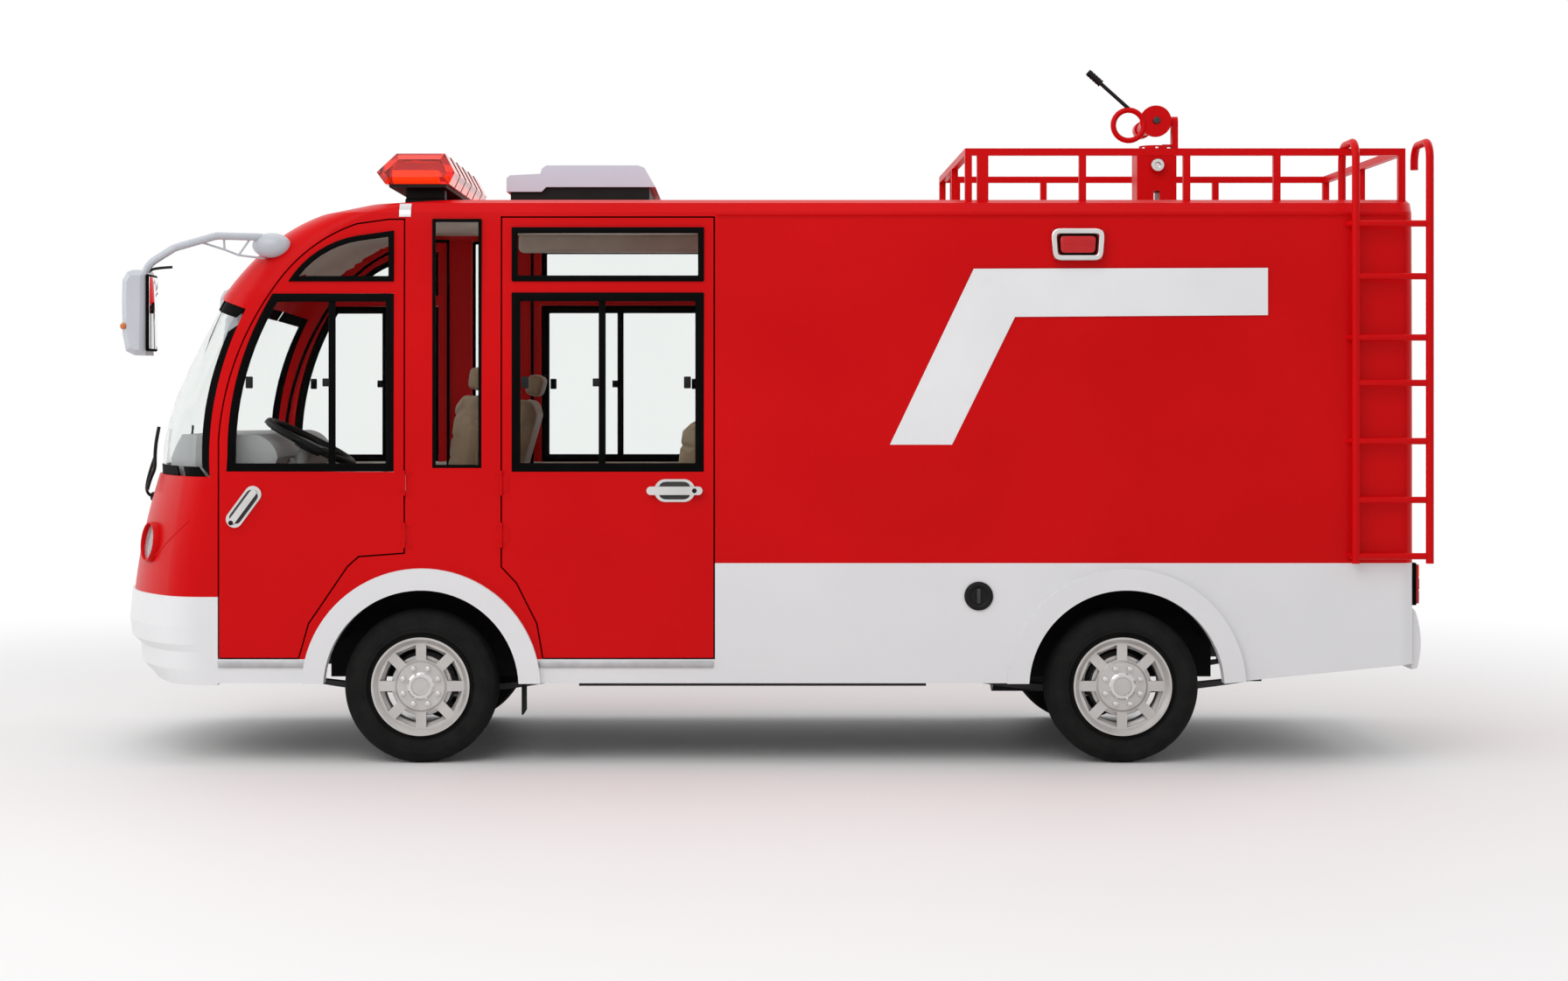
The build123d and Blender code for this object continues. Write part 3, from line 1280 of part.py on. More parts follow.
# Door handles: a dished plate and a bowed bar across it
handle_table = (
    # place, behind the front axle, height, plate long, plate tall, bar long, bar tall, lean in degrees
    ("front", -648.5, 951.0, 176.0, 62.0, 150.0, 24.0, 53.5),
    ("rear", 942.0, 1011.0, 150.0, 84.0, 206.0, 31.0, 0.0),
)
plate_stand = 4.0
grip_out = 26.0
grip_thick = 12.0
grip_end_share = 0.36
round_end_share = 0.49
for place, behind, z, long, tall, bar_long, bar_tall, lean in handle_table:
    x = front_axle_x + behind
    face = Plane(origin=(x, -half_width - seat_gap, z), x_dir=(1, 0, 0), z_dir=(0, -1, 0)) * Rot(0, 0, lean)
    plate = extrude(face * RectangleRounded(long, tall, tall * round_end_share), amount=plate_stand)
    bar = extrude(face * RectangleRounded(bar_long, bar_tall, bar_tall * round_end_share), amount=grip_out)
    hollow_long = bar_long * (1 - grip_end_share)
    hollow = extrude(face * Rectangle(hollow_long, tall), amount=grip_out - grip_thick)
    handle = plate.fuse(bar - hollow)
    save(handle, f"handle_{place}_left")
    save(mirrored(handle), f"handle_{place}_right")
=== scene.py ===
"""Looks of the electric fire patrol vehicle: paint, glass, lamps, seats and small fittings."""
import json
from math import cos, exp, pi, radians, sin, tan

import bpy
from mathutils import Matrix, Vector


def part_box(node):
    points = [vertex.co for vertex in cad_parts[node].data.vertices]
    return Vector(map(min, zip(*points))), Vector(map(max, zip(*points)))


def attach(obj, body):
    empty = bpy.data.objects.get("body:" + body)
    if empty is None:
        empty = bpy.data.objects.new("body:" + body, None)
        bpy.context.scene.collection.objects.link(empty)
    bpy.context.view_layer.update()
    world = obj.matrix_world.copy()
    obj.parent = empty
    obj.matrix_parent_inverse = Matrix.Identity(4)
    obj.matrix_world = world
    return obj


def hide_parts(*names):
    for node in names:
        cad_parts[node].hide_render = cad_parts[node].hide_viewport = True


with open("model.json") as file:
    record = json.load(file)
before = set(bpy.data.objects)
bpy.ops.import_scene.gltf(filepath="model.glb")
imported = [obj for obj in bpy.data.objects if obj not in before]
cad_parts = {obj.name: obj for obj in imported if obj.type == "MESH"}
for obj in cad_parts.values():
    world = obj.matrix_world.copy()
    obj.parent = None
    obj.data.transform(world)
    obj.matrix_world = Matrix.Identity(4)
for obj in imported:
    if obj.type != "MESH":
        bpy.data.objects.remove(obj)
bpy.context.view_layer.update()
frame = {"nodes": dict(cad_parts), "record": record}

nodes = frame["nodes"]
MM = 0.001

# The photograph's view, in metres and in pixels of its 1792 x 1121 frame
image_width, image_height = 1792, 1121
axis_px_x, horizon_px_y = 850.0, 450.0
camera_x, camera_y, camera_z = -0.064, -10.65, 1.368
side_scale = 3.2294 * MM
near_distance = 9.9

# The near side's outer face and the axles, in metres, and the bodies that carry left and right pieces
side_y = -0.75
front_axle_x, rear_axle_x, hub_z, wheel_y = -1.261, 1.339, 0.284, 0.65
fixed = ("vehicle", "vehicle")
doors = {"front": ("front_left_door", "front_right_door"), "rear": ("rear_left_door", "rear_right_door")}


def deselect():
    """Clears the selection, so that an operator acts on what comes next only."""
    if bpy.context.object and bpy.context.object.mode != "OBJECT":
        bpy.ops.object.mode_set(mode="OBJECT")
    bpy.ops.object.select_all(action="DESELECT")


def light(name, place, aim, size, power):
    """A soft square lamp that faces a point."""
    data = bpy.data.lights.new(name, "AREA")
    data.shape, data.size, data.energy = "SQUARE", size, power
    lamp = bpy.data.objects.new(name, data)
    lamp.location = place
    lamp.rotation_euler = (Vector(aim) - Vector(place)).to_track_quat("-Z", "Y").to_euler()
    bpy.context.collection.objects.link(lamp)
    return lamp


# Camera
camera_data = bpy.data.cameras.new("photo_camera")
camera = bpy.data.objects.new("photo_camera", camera_data)
bpy.context.collection.objects.link(camera)
camera.location = (camera_x, camera_y, camera_z)
camera.rotation_euler = (radians(90), 0, 0)
camera_data.sensor_width = 36.0
camera_data.lens = near_distance / side_scale / image_width * camera_data.sensor_width
camera_data.shift_x = (image_width / 2 - axis_px_x) / image_width
camera_data.shift_y = (horizon_px_y - image_height / 2) / image_width
bpy.context.scene.camera = camera
bpy.context.scene.view_settings.view_transform = "Standard"

# Studio
floor_fade = (2.6, 7.5)
light("key", (-3.0, -7.0, 7.0), (0, 0, 1.0), 7.0, 330)
light("front_fill", (-8.0, -1.5, 4.0), (-1.5, 0, 1.0), 5.0, 130)
light("rear_fill", (7.0, 2.0, 5.0), (1.0, 0, 1.0), 5.0, 130)
light("top", (0.0, 1.0, 8.0), (0, 0, 1.0), 7.0, 150)


def node_set(material):
    """The node tree of a material, with its shader."""
    material.use_nodes = True
    tree = material.node_tree
    return tree, tree.nodes, tree.links, tree.nodes["Principled BSDF"]


def seen_rays(tree):
    """One where the camera looks, straight, by a reflection or through glass, and nought for plain light."""
    path = tree.nodes.new("ShaderNodeLightPath")
    either, any_of = tree.nodes.new("ShaderNodeMath"), tree.nodes.new("ShaderNodeMath")
    either.operation = any_of.operation = "MAXIMUM"
    tree.links.new(path.outputs["Is Camera Ray"], either.inputs[0])
    tree.links.new(path.outputs["Is Transmission Ray"], either.inputs[1])
    tree.links.new(either.outputs[0], any_of.inputs[0])
    tree.links.new(path.outputs["Is Glossy Ray"], any_of.inputs[1])
    return any_of.outputs[0]


def background():
    """A white surround for the camera, mirrors and glass, and a plain grey light elsewhere."""
    world = bpy.data.worlds.new("studio")
    bpy.context.scene.world = world
    world.use_nodes = True
    tree = world.node_tree
    tree.nodes.clear()
    out = tree.nodes.new("ShaderNodeOutputWorld")
    seen = tree.nodes.new("ShaderNodeBackground")
    seen.inputs["Color"].default_value = (1, 1, 1, 1)
    seen.inputs["Strength"].default_value = 1.0
    lit = tree.nodes.new("ShaderNodeBackground")
    lit.inputs["Color"].default_value = (0.97, 0.98, 1.0, 1)
    lit.inputs["Strength"].default_value = 0.55
    mix = tree.nodes.new("ShaderNodeMixShader")
    tree.links.new(seen_rays(tree), mix.inputs["Fac"])
    tree.links.new(lit.outputs[0], mix.inputs[1])
    tree.links.new(seen.outputs[0], mix.inputs[2])
    tree.links.new(mix.outputs[0], out.inputs["Surface"])


background()

floor_size = 60.0
deselect()
bpy.ops.mesh.primitive_plane_add(size=floor_size, location=(0, 0, 0))
floor = bpy.context.object
floor.name = "floor"
floor_material = bpy.data.materials.new("floor_paper")
tree, shader_nodes, links, shader = node_set(floor_material)
shader.inputs["Base Color"].default_value = (0.83, 0.82, 0.81, 1)
shader.inputs["Roughness"].default_value = 0.6
shader.inputs["Specular IOR Level"].default_value = 0.2
white_paper = shader_nodes.new("ShaderNodeEmission")
white_paper.inputs["Strength"].default_value = 1.0
place = shader_nodes.new("ShaderNodeTexCoord")
reach = shader_nodes.new("ShaderNodeVectorMath")
reach.operation = "LENGTH"
links.new(place.outputs["Object"], reach.inputs[0])
fade = shader_nodes.new("ShaderNodeMapRange")
fade.interpolation_type = "SMOOTHSTEP"
fade.inputs["From Min"].default_value, fade.inputs["From Max"].default_value = floor_fade
links.new(reach.outputs["Value"], fade.inputs["Value"])
both = shader_nodes.new("ShaderNodeMath")
both.operation = "MULTIPLY"
links.new(fade.outputs["Result"], both.inputs[0])
links.new(seen_rays(tree), both.inputs[1])
mix = shader_nodes.new("ShaderNodeMixShader")
links.new(both.outputs[0], mix.inputs["Fac"])
links.new(shader.outputs[0], mix.inputs[1])
links.new(white_paper.outputs[0], mix.inputs[2])
links.new(mix.outputs[0], shader_nodes["Material Output"].inputs["Surface"])
floor.data.materials.append(floor_material)


def finish_of(name, dark, pale, rough=0.4, scale=3.0, grain=300.0, bump=0.02, metal=0.0, coat=0.0,
              spread=0.06, glow=None, see_through=0.0, sheen=0.0, detail=4.0, reach=0.001, gloss=0.5):
    """A finish whose colour, gloss and fine relief vary over the surface as the real one's do."""
    material = bpy.data.materials.new(name)
    tree, made, links, shader = node_set(material)
    place = made.new("ShaderNodeTexCoord")
    cloud = made.new("ShaderNodeTexNoise")
    cloud.inputs["Scale"].default_value = scale
    cloud.inputs["Detail"].default_value = detail
    links.new(place.outputs["Object"], cloud.inputs["Vector"])
    tint = made.new("ShaderNodeValToRGB")
    tint.color_ramp.elements[0].position, tint.color_ramp.elements[1].position = 0.3, 0.7
    tint.color_ramp.elements[0].color = (*dark, 1)
    tint.color_ramp.elements[1].color = (*pale, 1)
    links.new(cloud.outputs["Fac"], tint.inputs["Fac"])
    links.new(tint.outputs["Color"], shader.inputs["Base Color"])
    shine = made.new("ShaderNodeMapRange")
    shine.inputs["To Min"].default_value = max(rough - spread, 0.02)
    shine.inputs["To Max"].default_value = rough + spread
    links.new(cloud.outputs["Fac"], shine.inputs["Value"])
    links.new(shine.outputs["Result"], shader.inputs["Roughness"])
    fine = made.new("ShaderNodeTexNoise")
    fine.inputs["Scale"].default_value = grain
    fine.inputs["Detail"].default_value = 2.0
    links.new(place.outputs["Object"], fine.inputs["Vector"])
    relief = made.new("ShaderNodeBump")
    relief.inputs["Strength"].default_value = bump
    relief.inputs["Distance"].default_value = reach
    links.new(fine.outputs["Fac"], relief.inputs["Height"])
    links.new(relief.outputs["Normal"], shader.inputs["Normal"])
    shader.inputs["Metallic"].default_value = metal
    shader.inputs["Specular IOR Level"].default_value = gloss
    shader.inputs["Coat Weight"].default_value = coat
    shader.inputs["Coat Roughness"].default_value = 0.04
    shader.inputs["Transmission Weight"].default_value = see_through
    shader.inputs["Sheen Weight"].default_value = sheen
    if glow:
        shader.inputs["Emission Color"].default_value = (*glow[:3], 1)
        shader.inputs["Emission Strength"].default_value = glow[3]
    return material


red_paint = finish_of("red_paint", (0.58, 0.0015, 0.003), (0.64, 0.0025, 0.004), 0.34, 1.6, 260, 0.02,
                      gloss=0.09)
white_paint = finish_of("white_paint", (0.74, 0.74, 0.75), (0.78, 0.78, 0.79), 0.3, 2.0, 260, 0.02, gloss=0.3)
dark_steel = finish_of("dark_steel", (0.012, 0.012, 0.013), (0.03, 0.03, 0.032), 0.5, 9.0, 500, 0.15)
grey_trim = finish_of("grey_trim", (0.34, 0.34, 0.35), (0.39, 0.39, 0.4), 0.6, 6.0, 900, 0.25)
seat_cloth = finish_of("seat_cloth", (0.24, 0.17, 0.1), (0.31, 0.23, 0.15), 0.75, 8.0, 1400, 0.4, sheen=0.3)
lamp_clear = finish_of("lamp_clear", (0.8, 0.8, 0.82), (0.86, 0.86, 0.88), 0.1, 5.0, 200, 0.02,
                       see_through=0.7)
lamp_red = finish_of("lamp_red", (0.5, 0.008, 0.01), (0.6, 0.012, 0.018), 0.15, 5.0, 120, 0.1, gloss=0.3)
bar_lens = finish_of("bar_lens", (0.72, 0.03, 0.03), (0.82, 0.04, 0.04), 0.06, 4.0, 150, 0.03,
                     see_through=0.85, gloss=0.3)
brushed = finish_of("brushed_alloy", (0.4, 0.4, 0.41), (0.48, 0.48, 0.49), 0.35, 20.0, 700, 0.1, metal=1.0)
# The white plastic's base colour is tinted blue to cancel the red light the roof bounces onto it; this tint
# is painted light, not the plastic's own colour
white_plastic = finish_of("white_plastic", (0.6, 0.7, 0.8), (0.64, 0.74, 0.84), 0.4, 4.0, 700, 0.05)
silver_plastic = finish_of("silver_plastic", (0.47, 0.49, 0.53), (0.54, 0.56, 0.6), 0.3, 5.0, 600, 0.04,
                           gloss=0.4)
chrome = finish_of("chrome", (0.58, 0.57, 0.56), (0.68, 0.67, 0.66), 0.12, 8.0, 300, 0.02, metal=1.0,
                   spread=0.03)
tyre_rubber = finish_of("tyre_rubber", (0.006, 0.006, 0.006), (0.013, 0.0125, 0.012), 0.75, 14.0, 900, 0.3,
                        gloss=0.12)
alloy = finish_of("wheel_silver", (0.5, 0.48, 0.46), (0.58, 0.56, 0.54), 0.32, 9.0, 600, 0.05, metal=0.5)
black_plastic = finish_of("black_plastic", (0.006, 0.006, 0.006), (0.011, 0.011, 0.011), 0.5, 9.0, 800, 0.15,
                          gloss=0.15)
floor_mat = finish_of("floor_mat", (0.006, 0.006, 0.006), (0.012, 0.012, 0.012), 0.8, 9.0, 600, 0.3,
                      gloss=0.1)
rubber_seal = finish_of("rubber_seal", (0.0015, 0.0015, 0.0015), (0.003, 0.003, 0.003), 0.6, 12.0, 900, 0.1,
                        gloss=0.03)
indicator_amber = finish_of("indicator_amber", (0.55, 0.13, 0.005), (0.62, 0.16, 0.008), 0.3, 3.0, 400, 0.02,
                            coat=0.4)
tank_plastic = finish_of("tank_plastic", (0.6, 0.62, 0.64), (0.68, 0.7, 0.72), 0.5, 3.0, 500, 0.1)
vinyl_white = finish_of("vinyl_white", (0.8, 0.8, 0.81), (0.85, 0.85, 0.86), 0.35, 3.0, 400, 0.02, gloss=0.3)
amber_lamp = finish_of("amber_lamp", (0.9, 0.35, 0.04), (1.0, 0.5, 0.08), 0.25, 30.0, 300, 0.1,
                       glow=(1.0, 0.20, 0.015, 1.1))
liner_felt = finish_of("liner_felt", (0.7, 0.64, 0.55), (0.76, 0.7, 0.61), 0.85, 12.0, 1500, 0.4, sheen=0.2)
mirror_face = finish_of("mirror_face", (0.85, 0.86, 0.88), (0.9, 0.9, 0.92), 0.02, 3.0, 50, 0.0, metal=1.0,
                        spread=0.0)


def clear_glass(name, tint):
    """Thin window glass that lets the light straight through, with a gloss that grows at the edge."""
    material = bpy.data.materials.new(name)
    tree, made, links, shader = node_set(material)
    place = made.new("ShaderNodeTexCoord")
    cloud = made.new("ShaderNodeTexNoise")
    cloud.inputs["Scale"].default_value = 2.0
    links.new(place.outputs["Object"], cloud.inputs["Vector"])
    ramp = made.new("ShaderNodeValToRGB")
    ramp.color_ramp.elements[0].color = (*[part * 0.97 for part in tint], 1)
    ramp.color_ramp.elements[1].color = (*tint, 1)
    links.new(cloud.outputs["Fac"], ramp.inputs["Fac"])
    links.new(ramp.outputs["Color"], shader.inputs["Base Color"])
    shader.inputs["Roughness"].default_value = 0.01
    shader.inputs["Transmission Weight"].default_value = 1.0
    shader.inputs["IOR"].default_value = 1.06
    return material


window_glass = clear_glass("window_glass", (0.93, 0.95, 0.94))

finishes = {
    "red_paint": red_paint, "white_paint": white_paint, "dark_steel": dark_steel, "glass": window_glass,
    "grey_trim": grey_trim, "seat_cloth": seat_cloth, "lamp_clear": lamp_clear, "lamp_red": lamp_red,
    "bar_base": brushed, "white_plastic": white_plastic, "silver_plastic": silver_plastic,
    "chrome": chrome, "tyre": tyre_rubber, "alloy": alloy, "black_plastic": black_plastic,
    "tank_plastic": tank_plastic,
}
slot_of = {part["node"]: part["material_slot"] for part in frame["record"]["subparts"]}
for name, piece in nodes.items():
    for slot in piece.material_slots:
        slot.material = finishes[slot_of[name]]
    if not piece.material_slots:
        piece.data.materials.append(finishes[slot_of[name]])
nodes["light_bar_lens"].material_slots[0].material = bar_lens
nodes["floor_pan"].material_slots[0].material = floor_mat
nodes["light_bar_base"].material_slots[0].material = black_plastic

# Ways of making
OTHER_SIDE = Matrix.Scale(-1, 4, (0, 1, 0))
merge_gap = 0.00001


def edit_all():
    """Opens the active piece for editing, with everything selected."""
    bpy.ops.object.mode_set(mode="EDIT")
    bpy.ops.mesh.select_all(action="SELECT")


def choose_faces(piece, wanted):
    """Opens the active piece for editing, with the faces selected that are wanted."""
    edit_all()
    bpy.ops.mesh.select_mode(type="FACE")
    bpy.ops.mesh.select_all(action="DESELECT")
    bpy.ops.object.mode_set(mode="OBJECT")
    for face in piece.data.polygons:
        face.select = wanted(face)
    bpy.ops.object.mode_set(mode="EDIT")


def close_up():
    """Merges doubles, turns the faces outwards and leaves edit mode."""
    bpy.ops.mesh.select_all(action="SELECT")
    bpy.ops.mesh.remove_doubles(threshold=merge_gap)
    bpy.ops.mesh.delete_loose()
    bpy.ops.mesh.select_all(action="SELECT")
    bpy.ops.mesh.normals_make_consistent(inside=False)
    bpy.ops.object.mode_set(mode="OBJECT")


def take_up(piece):
    """Makes a piece the active and only selected one."""
    deselect()
    bpy.context.view_layer.objects.active = piece
    piece.select_set(True)


def modify(piece, kind, **settings):
    """Adds a modifier with its settings and applies it."""
    take_up(piece)
    made = piece.modifiers.new(kind.lower(), kind)
    for key, value in settings.items():
        setattr(made, key, value)
    bpy.ops.object.modifier_apply(modifier=made.name)


def soften(piece, width, segments=2, angle=35):
    """Rounds the sharp edges of a piece."""
    modify(piece, "BEVEL", width=width, segments=segments, limit_method="ANGLE", angle_limit=radians(angle))


def fit(piece, name, body, material, smooth=35):
    """Names a finished piece, gives it its finish and fixes it to its body."""
    piece.name = piece.data.name = name
    piece.data.materials.clear()
    piece.data.materials.append(material)
    take_up(piece)
    bpy.ops.object.transform_apply(location=True, rotation=True, scale=True)
    bpy.ops.object.shade_smooth_by_angle(angle=radians(smooth))
    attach(piece, body)
    return piece


def copy_of(piece, name, body, change):
    """A second piece with a mesh of its own, moved, turned or mirrored."""
    twin = piece.copy()
    twin.data = piece.data.copy()
    for note in list(twin.keys()):
        del twin[note]
    twin.data.transform(change)
    if change.determinant() < 0:
        twin.data.flip_normals()
    bpy.context.collection.objects.link(twin)
    twin.name = twin.data.name = name
    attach(twin, body)
    return twin


def pair(piece, name, bodies, material, smooth=35):
    """Fits a near-side piece to the left body, and its mirrored twin to the right one."""
    fit(piece, f"{name}_left", bodies[0], material, smooth)
    copy_of(piece, f"{name}_right", bodies[1], OTHER_SIDE)


def corners_ring(corners, fill):
    """A circle with as many corners as an outline has, each moved to its own place."""
    deselect()
    bpy.ops.mesh.primitive_circle_add(vertices=len(corners), fill_type=fill)
    piece = bpy.context.object
    for corner, place in zip(piece.data.vertices, corners):
        corner.co = place
    return piece


def plate(outline, y_near, y_far, border=None):
    """A plate with a side-view outline, or with a border its frame only, from one depth to another."""
    piece = corners_ring([(x, y_near, z) for x, z in outline], "NGON")
    edit_all()
    if border:
        bpy.ops.mesh.inset(thickness=border, use_even_offset=True)
        bpy.ops.mesh.delete(type="FACE")
        bpy.ops.mesh.select_all(action="SELECT")
    bpy.ops.mesh.extrude_region_move(TRANSFORM_OT_translate={"value": (0, y_far - y_near, 0)})
    close_up()
    return piece


def slab(low, high):
    """A block between two corners."""
    deselect()
    middle = [(a + b) / 2 for a, b in zip(low, high)]
    bpy.ops.mesh.primitive_cube_add(size=1, location=middle)
    piece = bpy.context.object
    piece.scale = [b - a for a, b in zip(low, high)]
    bpy.ops.object.transform_apply(location=True, rotation=True, scale=True)
    return piece


def spun(profile, centre, steps=64):
    """A profile of (across, radius) turned about a line along Y through a centre."""
    x, y, z = centre
    piece = corners_ring([(x, y + across, z + radius) for across, radius in profile], "NOTHING")
    edit_all()
    bpy.ops.mesh.spin(steps=steps, angle=2 * pi, center=centre, axis=(0, 1, 0))
    close_up()
    return piece


def stud(place, radius, depth, sides=6, turn=pi / 2):
    """A short bar, along Y unless it is turned otherwise, with six flats unless more are asked for."""
    deselect()
    bpy.ops.mesh.primitive_cylinder_add(vertices=sides, radius=radius, depth=depth, rotation=(turn, 0, 0),
                                        location=place)
    return bpy.context.object


def tube(points, radius, smooth_path=False, sides=8):
    """A round bar along a path."""
    deselect()
    curve = bpy.data.curves.new("tube", "CURVE")
    curve.dimensions = "3D"
    line = curve.splines.new("NURBS" if smooth_path else "POLY")
    line.points.add(len(points) - 1)
    for point, place in zip(line.points, points):
        point.co = (*place, 1)
    if smooth_path:
        line.order_u = 3
        line.use_endpoint_u = True
        line.resolution_u = 6
    curve.bevel_depth = radius
    curve.bevel_resolution = sides // 4
    curve.use_fill_caps = True
    piece = bpy.data.objects.new("tube", curve)
    bpy.context.collection.objects.link(piece)
    bpy.context.view_layer.objects.active = piece
    piece.select_set(True)
    bpy.ops.object.convert(target="MESH")
    return bpy.context.object


def joined(pieces):
    """Several pieces made one."""
    deselect()
    for piece in pieces:
        piece.select_set(True)
    bpy.context.view_layer.objects.active = pieces[0]
    bpy.ops.object.join()
    return bpy.context.object


def fit_studs(studs, name, body, material, edge, segments=2):
    """Joins studs, rounds their edges and fits them to a body."""
    studs = joined(studs)
    bpy.ops.object.transform_apply(location=True, rotation=True, scale=True)
    soften(studs, edge, segments)
    fit(studs, name, body, material)


def arc(start, middle, end, count):
    """Points along the circle's arc through three places."""
    (ax, az), (bx, bz), (cx, cz) = start, middle, end
    d = 2 * (ax * (bz - cz) + bx * (cz - az) + cx * (az - bz))
    ux = ((ax**2 + az**2) * (bz - cz) + (bx**2 + bz**2) * (cz - az) + (cx**2 + cz**2) * (az - bz)) / d
    uz = ((ax**2 + az**2) * (cx - bx) + (bx**2 + bz**2) * (ax - cx) + (cx**2 + cz**2) * (bx - ax)) / d
    centre, first = Vector((ux, uz)), Vector((ax - ux, az - uz))
    last = Vector((cx - ux, cz - uz))
    turn = first.angle_signed(last)
    points = []
    for step in range(1, count + 1):
        spin = Matrix.Rotation(-turn * step / count, 2)
        points.append(tuple(centre + spin @ first))
    return points


nearly_straight, side_share = 1.35, 0.45
side_start_y, nose_start_x = -1.6, -3.2


def rounded(outline, radius, count=5):
    """An outline whose corners are rounded, each by as much as its sides allow."""
    points = []
    total = len(outline)
    for index, corner in enumerate(outline):
        corner = Vector(corner)
        back = Vector(outline[index - 1]) - corner
        on = Vector(outline[(index + 1) % total]) - corner
        half = back.angle(on) / 2
        if half > nearly_straight:
            points.append(tuple(corner))
            continue
        run = min(radius / tan(half), back.length * side_share, on.length * side_share)
        first, last = corner + back.normalized() * run, corner + on.normalized() * run
        for step in range(count + 1):
            t = step / count
            points.append(tuple((1 - t) ** 2 * first + 2 * t * (1 - t) * corner + t**2 * last))
    return points


def outside_y(names, x, z):
    """How far out the near side of some nodes lies at a place in side view."""
    best = None
    for name in names:
        hit, place, _, _ = nodes[name].ray_cast(Vector((x, side_start_y, z)), Vector((0, 1, 0)))
        if hit and (best is None or place.y < best):
            best = place.y
    return best


def front_x(names, y, z):
    """How far forward the nose of some nodes lies at a place in front view."""
    best = None
    for name in names:
        hit, place, _, _ = nodes[name].ray_cast(Vector((nose_start_x, y, z)), Vector((1, 0, 0)))
        if hit and (best is None or place.x < best):
            best = place.x
    return best


def node_copy(name):
    """A copy of a node's mesh, merged, and open for editing by its faces."""
    piece = nodes[name].copy()
    piece.data = nodes[name].data.copy()
    for note in list(piece.keys()):
        del piece[note]
    bpy.context.collection.objects.link(piece)
    take_up(piece)
    edit_all()
    bpy.ops.mesh.remove_doubles(threshold=merge_gap)
    bpy.ops.mesh.select_mode(type="FACE")
    return piece


# Window seals, sliding panes' bars and their latches
front_lower = [(-1.974, 1.081), (-1.970, 1.142), *arc((-1.970, 1.142), (-1.935, 1.430), (-1.804, 1.738), 12),
               (-1.356, 1.738), (-1.356, 1.081)]
front_upper = [(-1.746, 1.783), *arc((-1.746, 1.783), (-1.640, 1.893), (-1.490, 1.952), 8), (-1.356, 1.971),
               (-1.356, 1.783)]
rear_lower = [(-0.921, 1.080), (-0.921, 1.742), (-0.211, 1.742), (-0.211, 1.080)]
rear_upper = [(-0.921, 1.783), (-0.921, 1.983), (-0.211, 1.983), (-0.211, 1.783)]
pillar_pane = [(-1.214, 1.094), (-1.214, 2.014), (-1.032, 2.014), (-1.032, 1.094)]
seal_in_y, seal_out_y = side_y + 0.0155, side_y - 0.0003
seals = (
    ("front_lower", front_lower, 0.030, doors["front"]),
    ("front_upper", front_upper, 0.020, doors["front"]),
    ("rear_lower", rear_lower, 0.032, doors["rear"]),
    ("rear_upper", rear_upper, 0.022, doors["rear"]),
    ("pillar", pillar_pane, 0.012, fixed),
)
for name, outline, border, bodies in seals:
    seal = plate(outline, seal_in_y, seal_out_y, border)
    soften(seal, 0.0025)
    pair(seal, f"seal_{name}", bodies, rubber_seal)
half_bar, bar_out_y = 0.013, side_y + 0.006
latch_in_y, latch_out_y = side_y + 0.012, side_y + 0.002
for name, x, low, high in (("front", -1.585, 1.100, 1.720), ("rear", -0.587, 1.100, 1.722)):
    bar = slab((x - half_bar, bar_out_y, low), (x + half_bar, seal_in_y, high))
    soften(bar, 0.002)
    pair(bar, f"pane_bar_{name}", doors[name], rubber_seal)
    latch = slab((x - 0.035, latch_out_y, 1.395), (x - 0.008, latch_in_y, 1.425))
    soften(latch, 0.003)
    pair(latch, f"pane_latch_{name}", doors[name], black_plastic)

# Tyres: grooves round the tread, and raised rings on the walls; pressed in, then grown to their radius
tyre_radius, pressed_in = 0.284, 0.006
tyre_half = [
    (0.0595, 0.169), (0.0625, 0.186), (0.0795, 0.196), (0.0815, 0.205), (0.0845, 0.208), (0.0855, 0.213),
    (0.0875, 0.224), (0.0865, 0.229), (0.0875, 0.233), (0.0868, 0.245), (0.0835, 0.252), (0.0755, 0.262),
    (0.0735, 0.265), (0.0655, 0.275), (0.0475, 0.283), (0.0330, 0.284), (0.0325, 0.277), (0.0265, 0.277),
    (0.0260, 0.284), (0.0060, 0.284), (0.0055, 0.277),
]
tyre_profile = tyre_half + [(-across, radius) for across, radius in reversed(tyre_half)]
tyre_places = {
    "front_left": (front_axle_x, -wheel_y, hub_z), "front_right": (front_axle_x, wheel_y, hub_z),
    "rear_left": (rear_axle_x, -wheel_y, hub_z), "rear_right": (rear_axle_x, wheel_y, hub_z),
}
first_tyre = spun(tyre_profile, tyre_places["front_left"], 90)
take_up(first_tyre)
edit_all()
bpy.ops.mesh.select_mode(type="FACE")
bpy.ops.transform.shrink_fatten(value=-pressed_in)
close_up()
hub_point = Vector(tyre_places["front_left"])
reached = max(hub_point.z - corner.co.z for corner in first_tyre.data.vertices)
grown = tyre_radius / reached
first_tyre.data.transform(Matrix.Translation(hub_point) @ Matrix.Diagonal((grown, 1.0, grown, 1.0))
                          @ Matrix.Translation(-hub_point))
fit(first_tyre, "tread_front_left", "front_left_wheel", tyre_rubber, 30)
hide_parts("tyre_front_left")
for place in ("front_right", "rear_left", "rear_right"):
    move = Matrix.Translation(Vector(tyre_places[place]) - Vector(tyre_places["front_left"]))
    tyre = copy_of(first_tyre, f"tread_{place}", f"{place}_wheel", move)
    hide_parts(f"tyre_{place}")

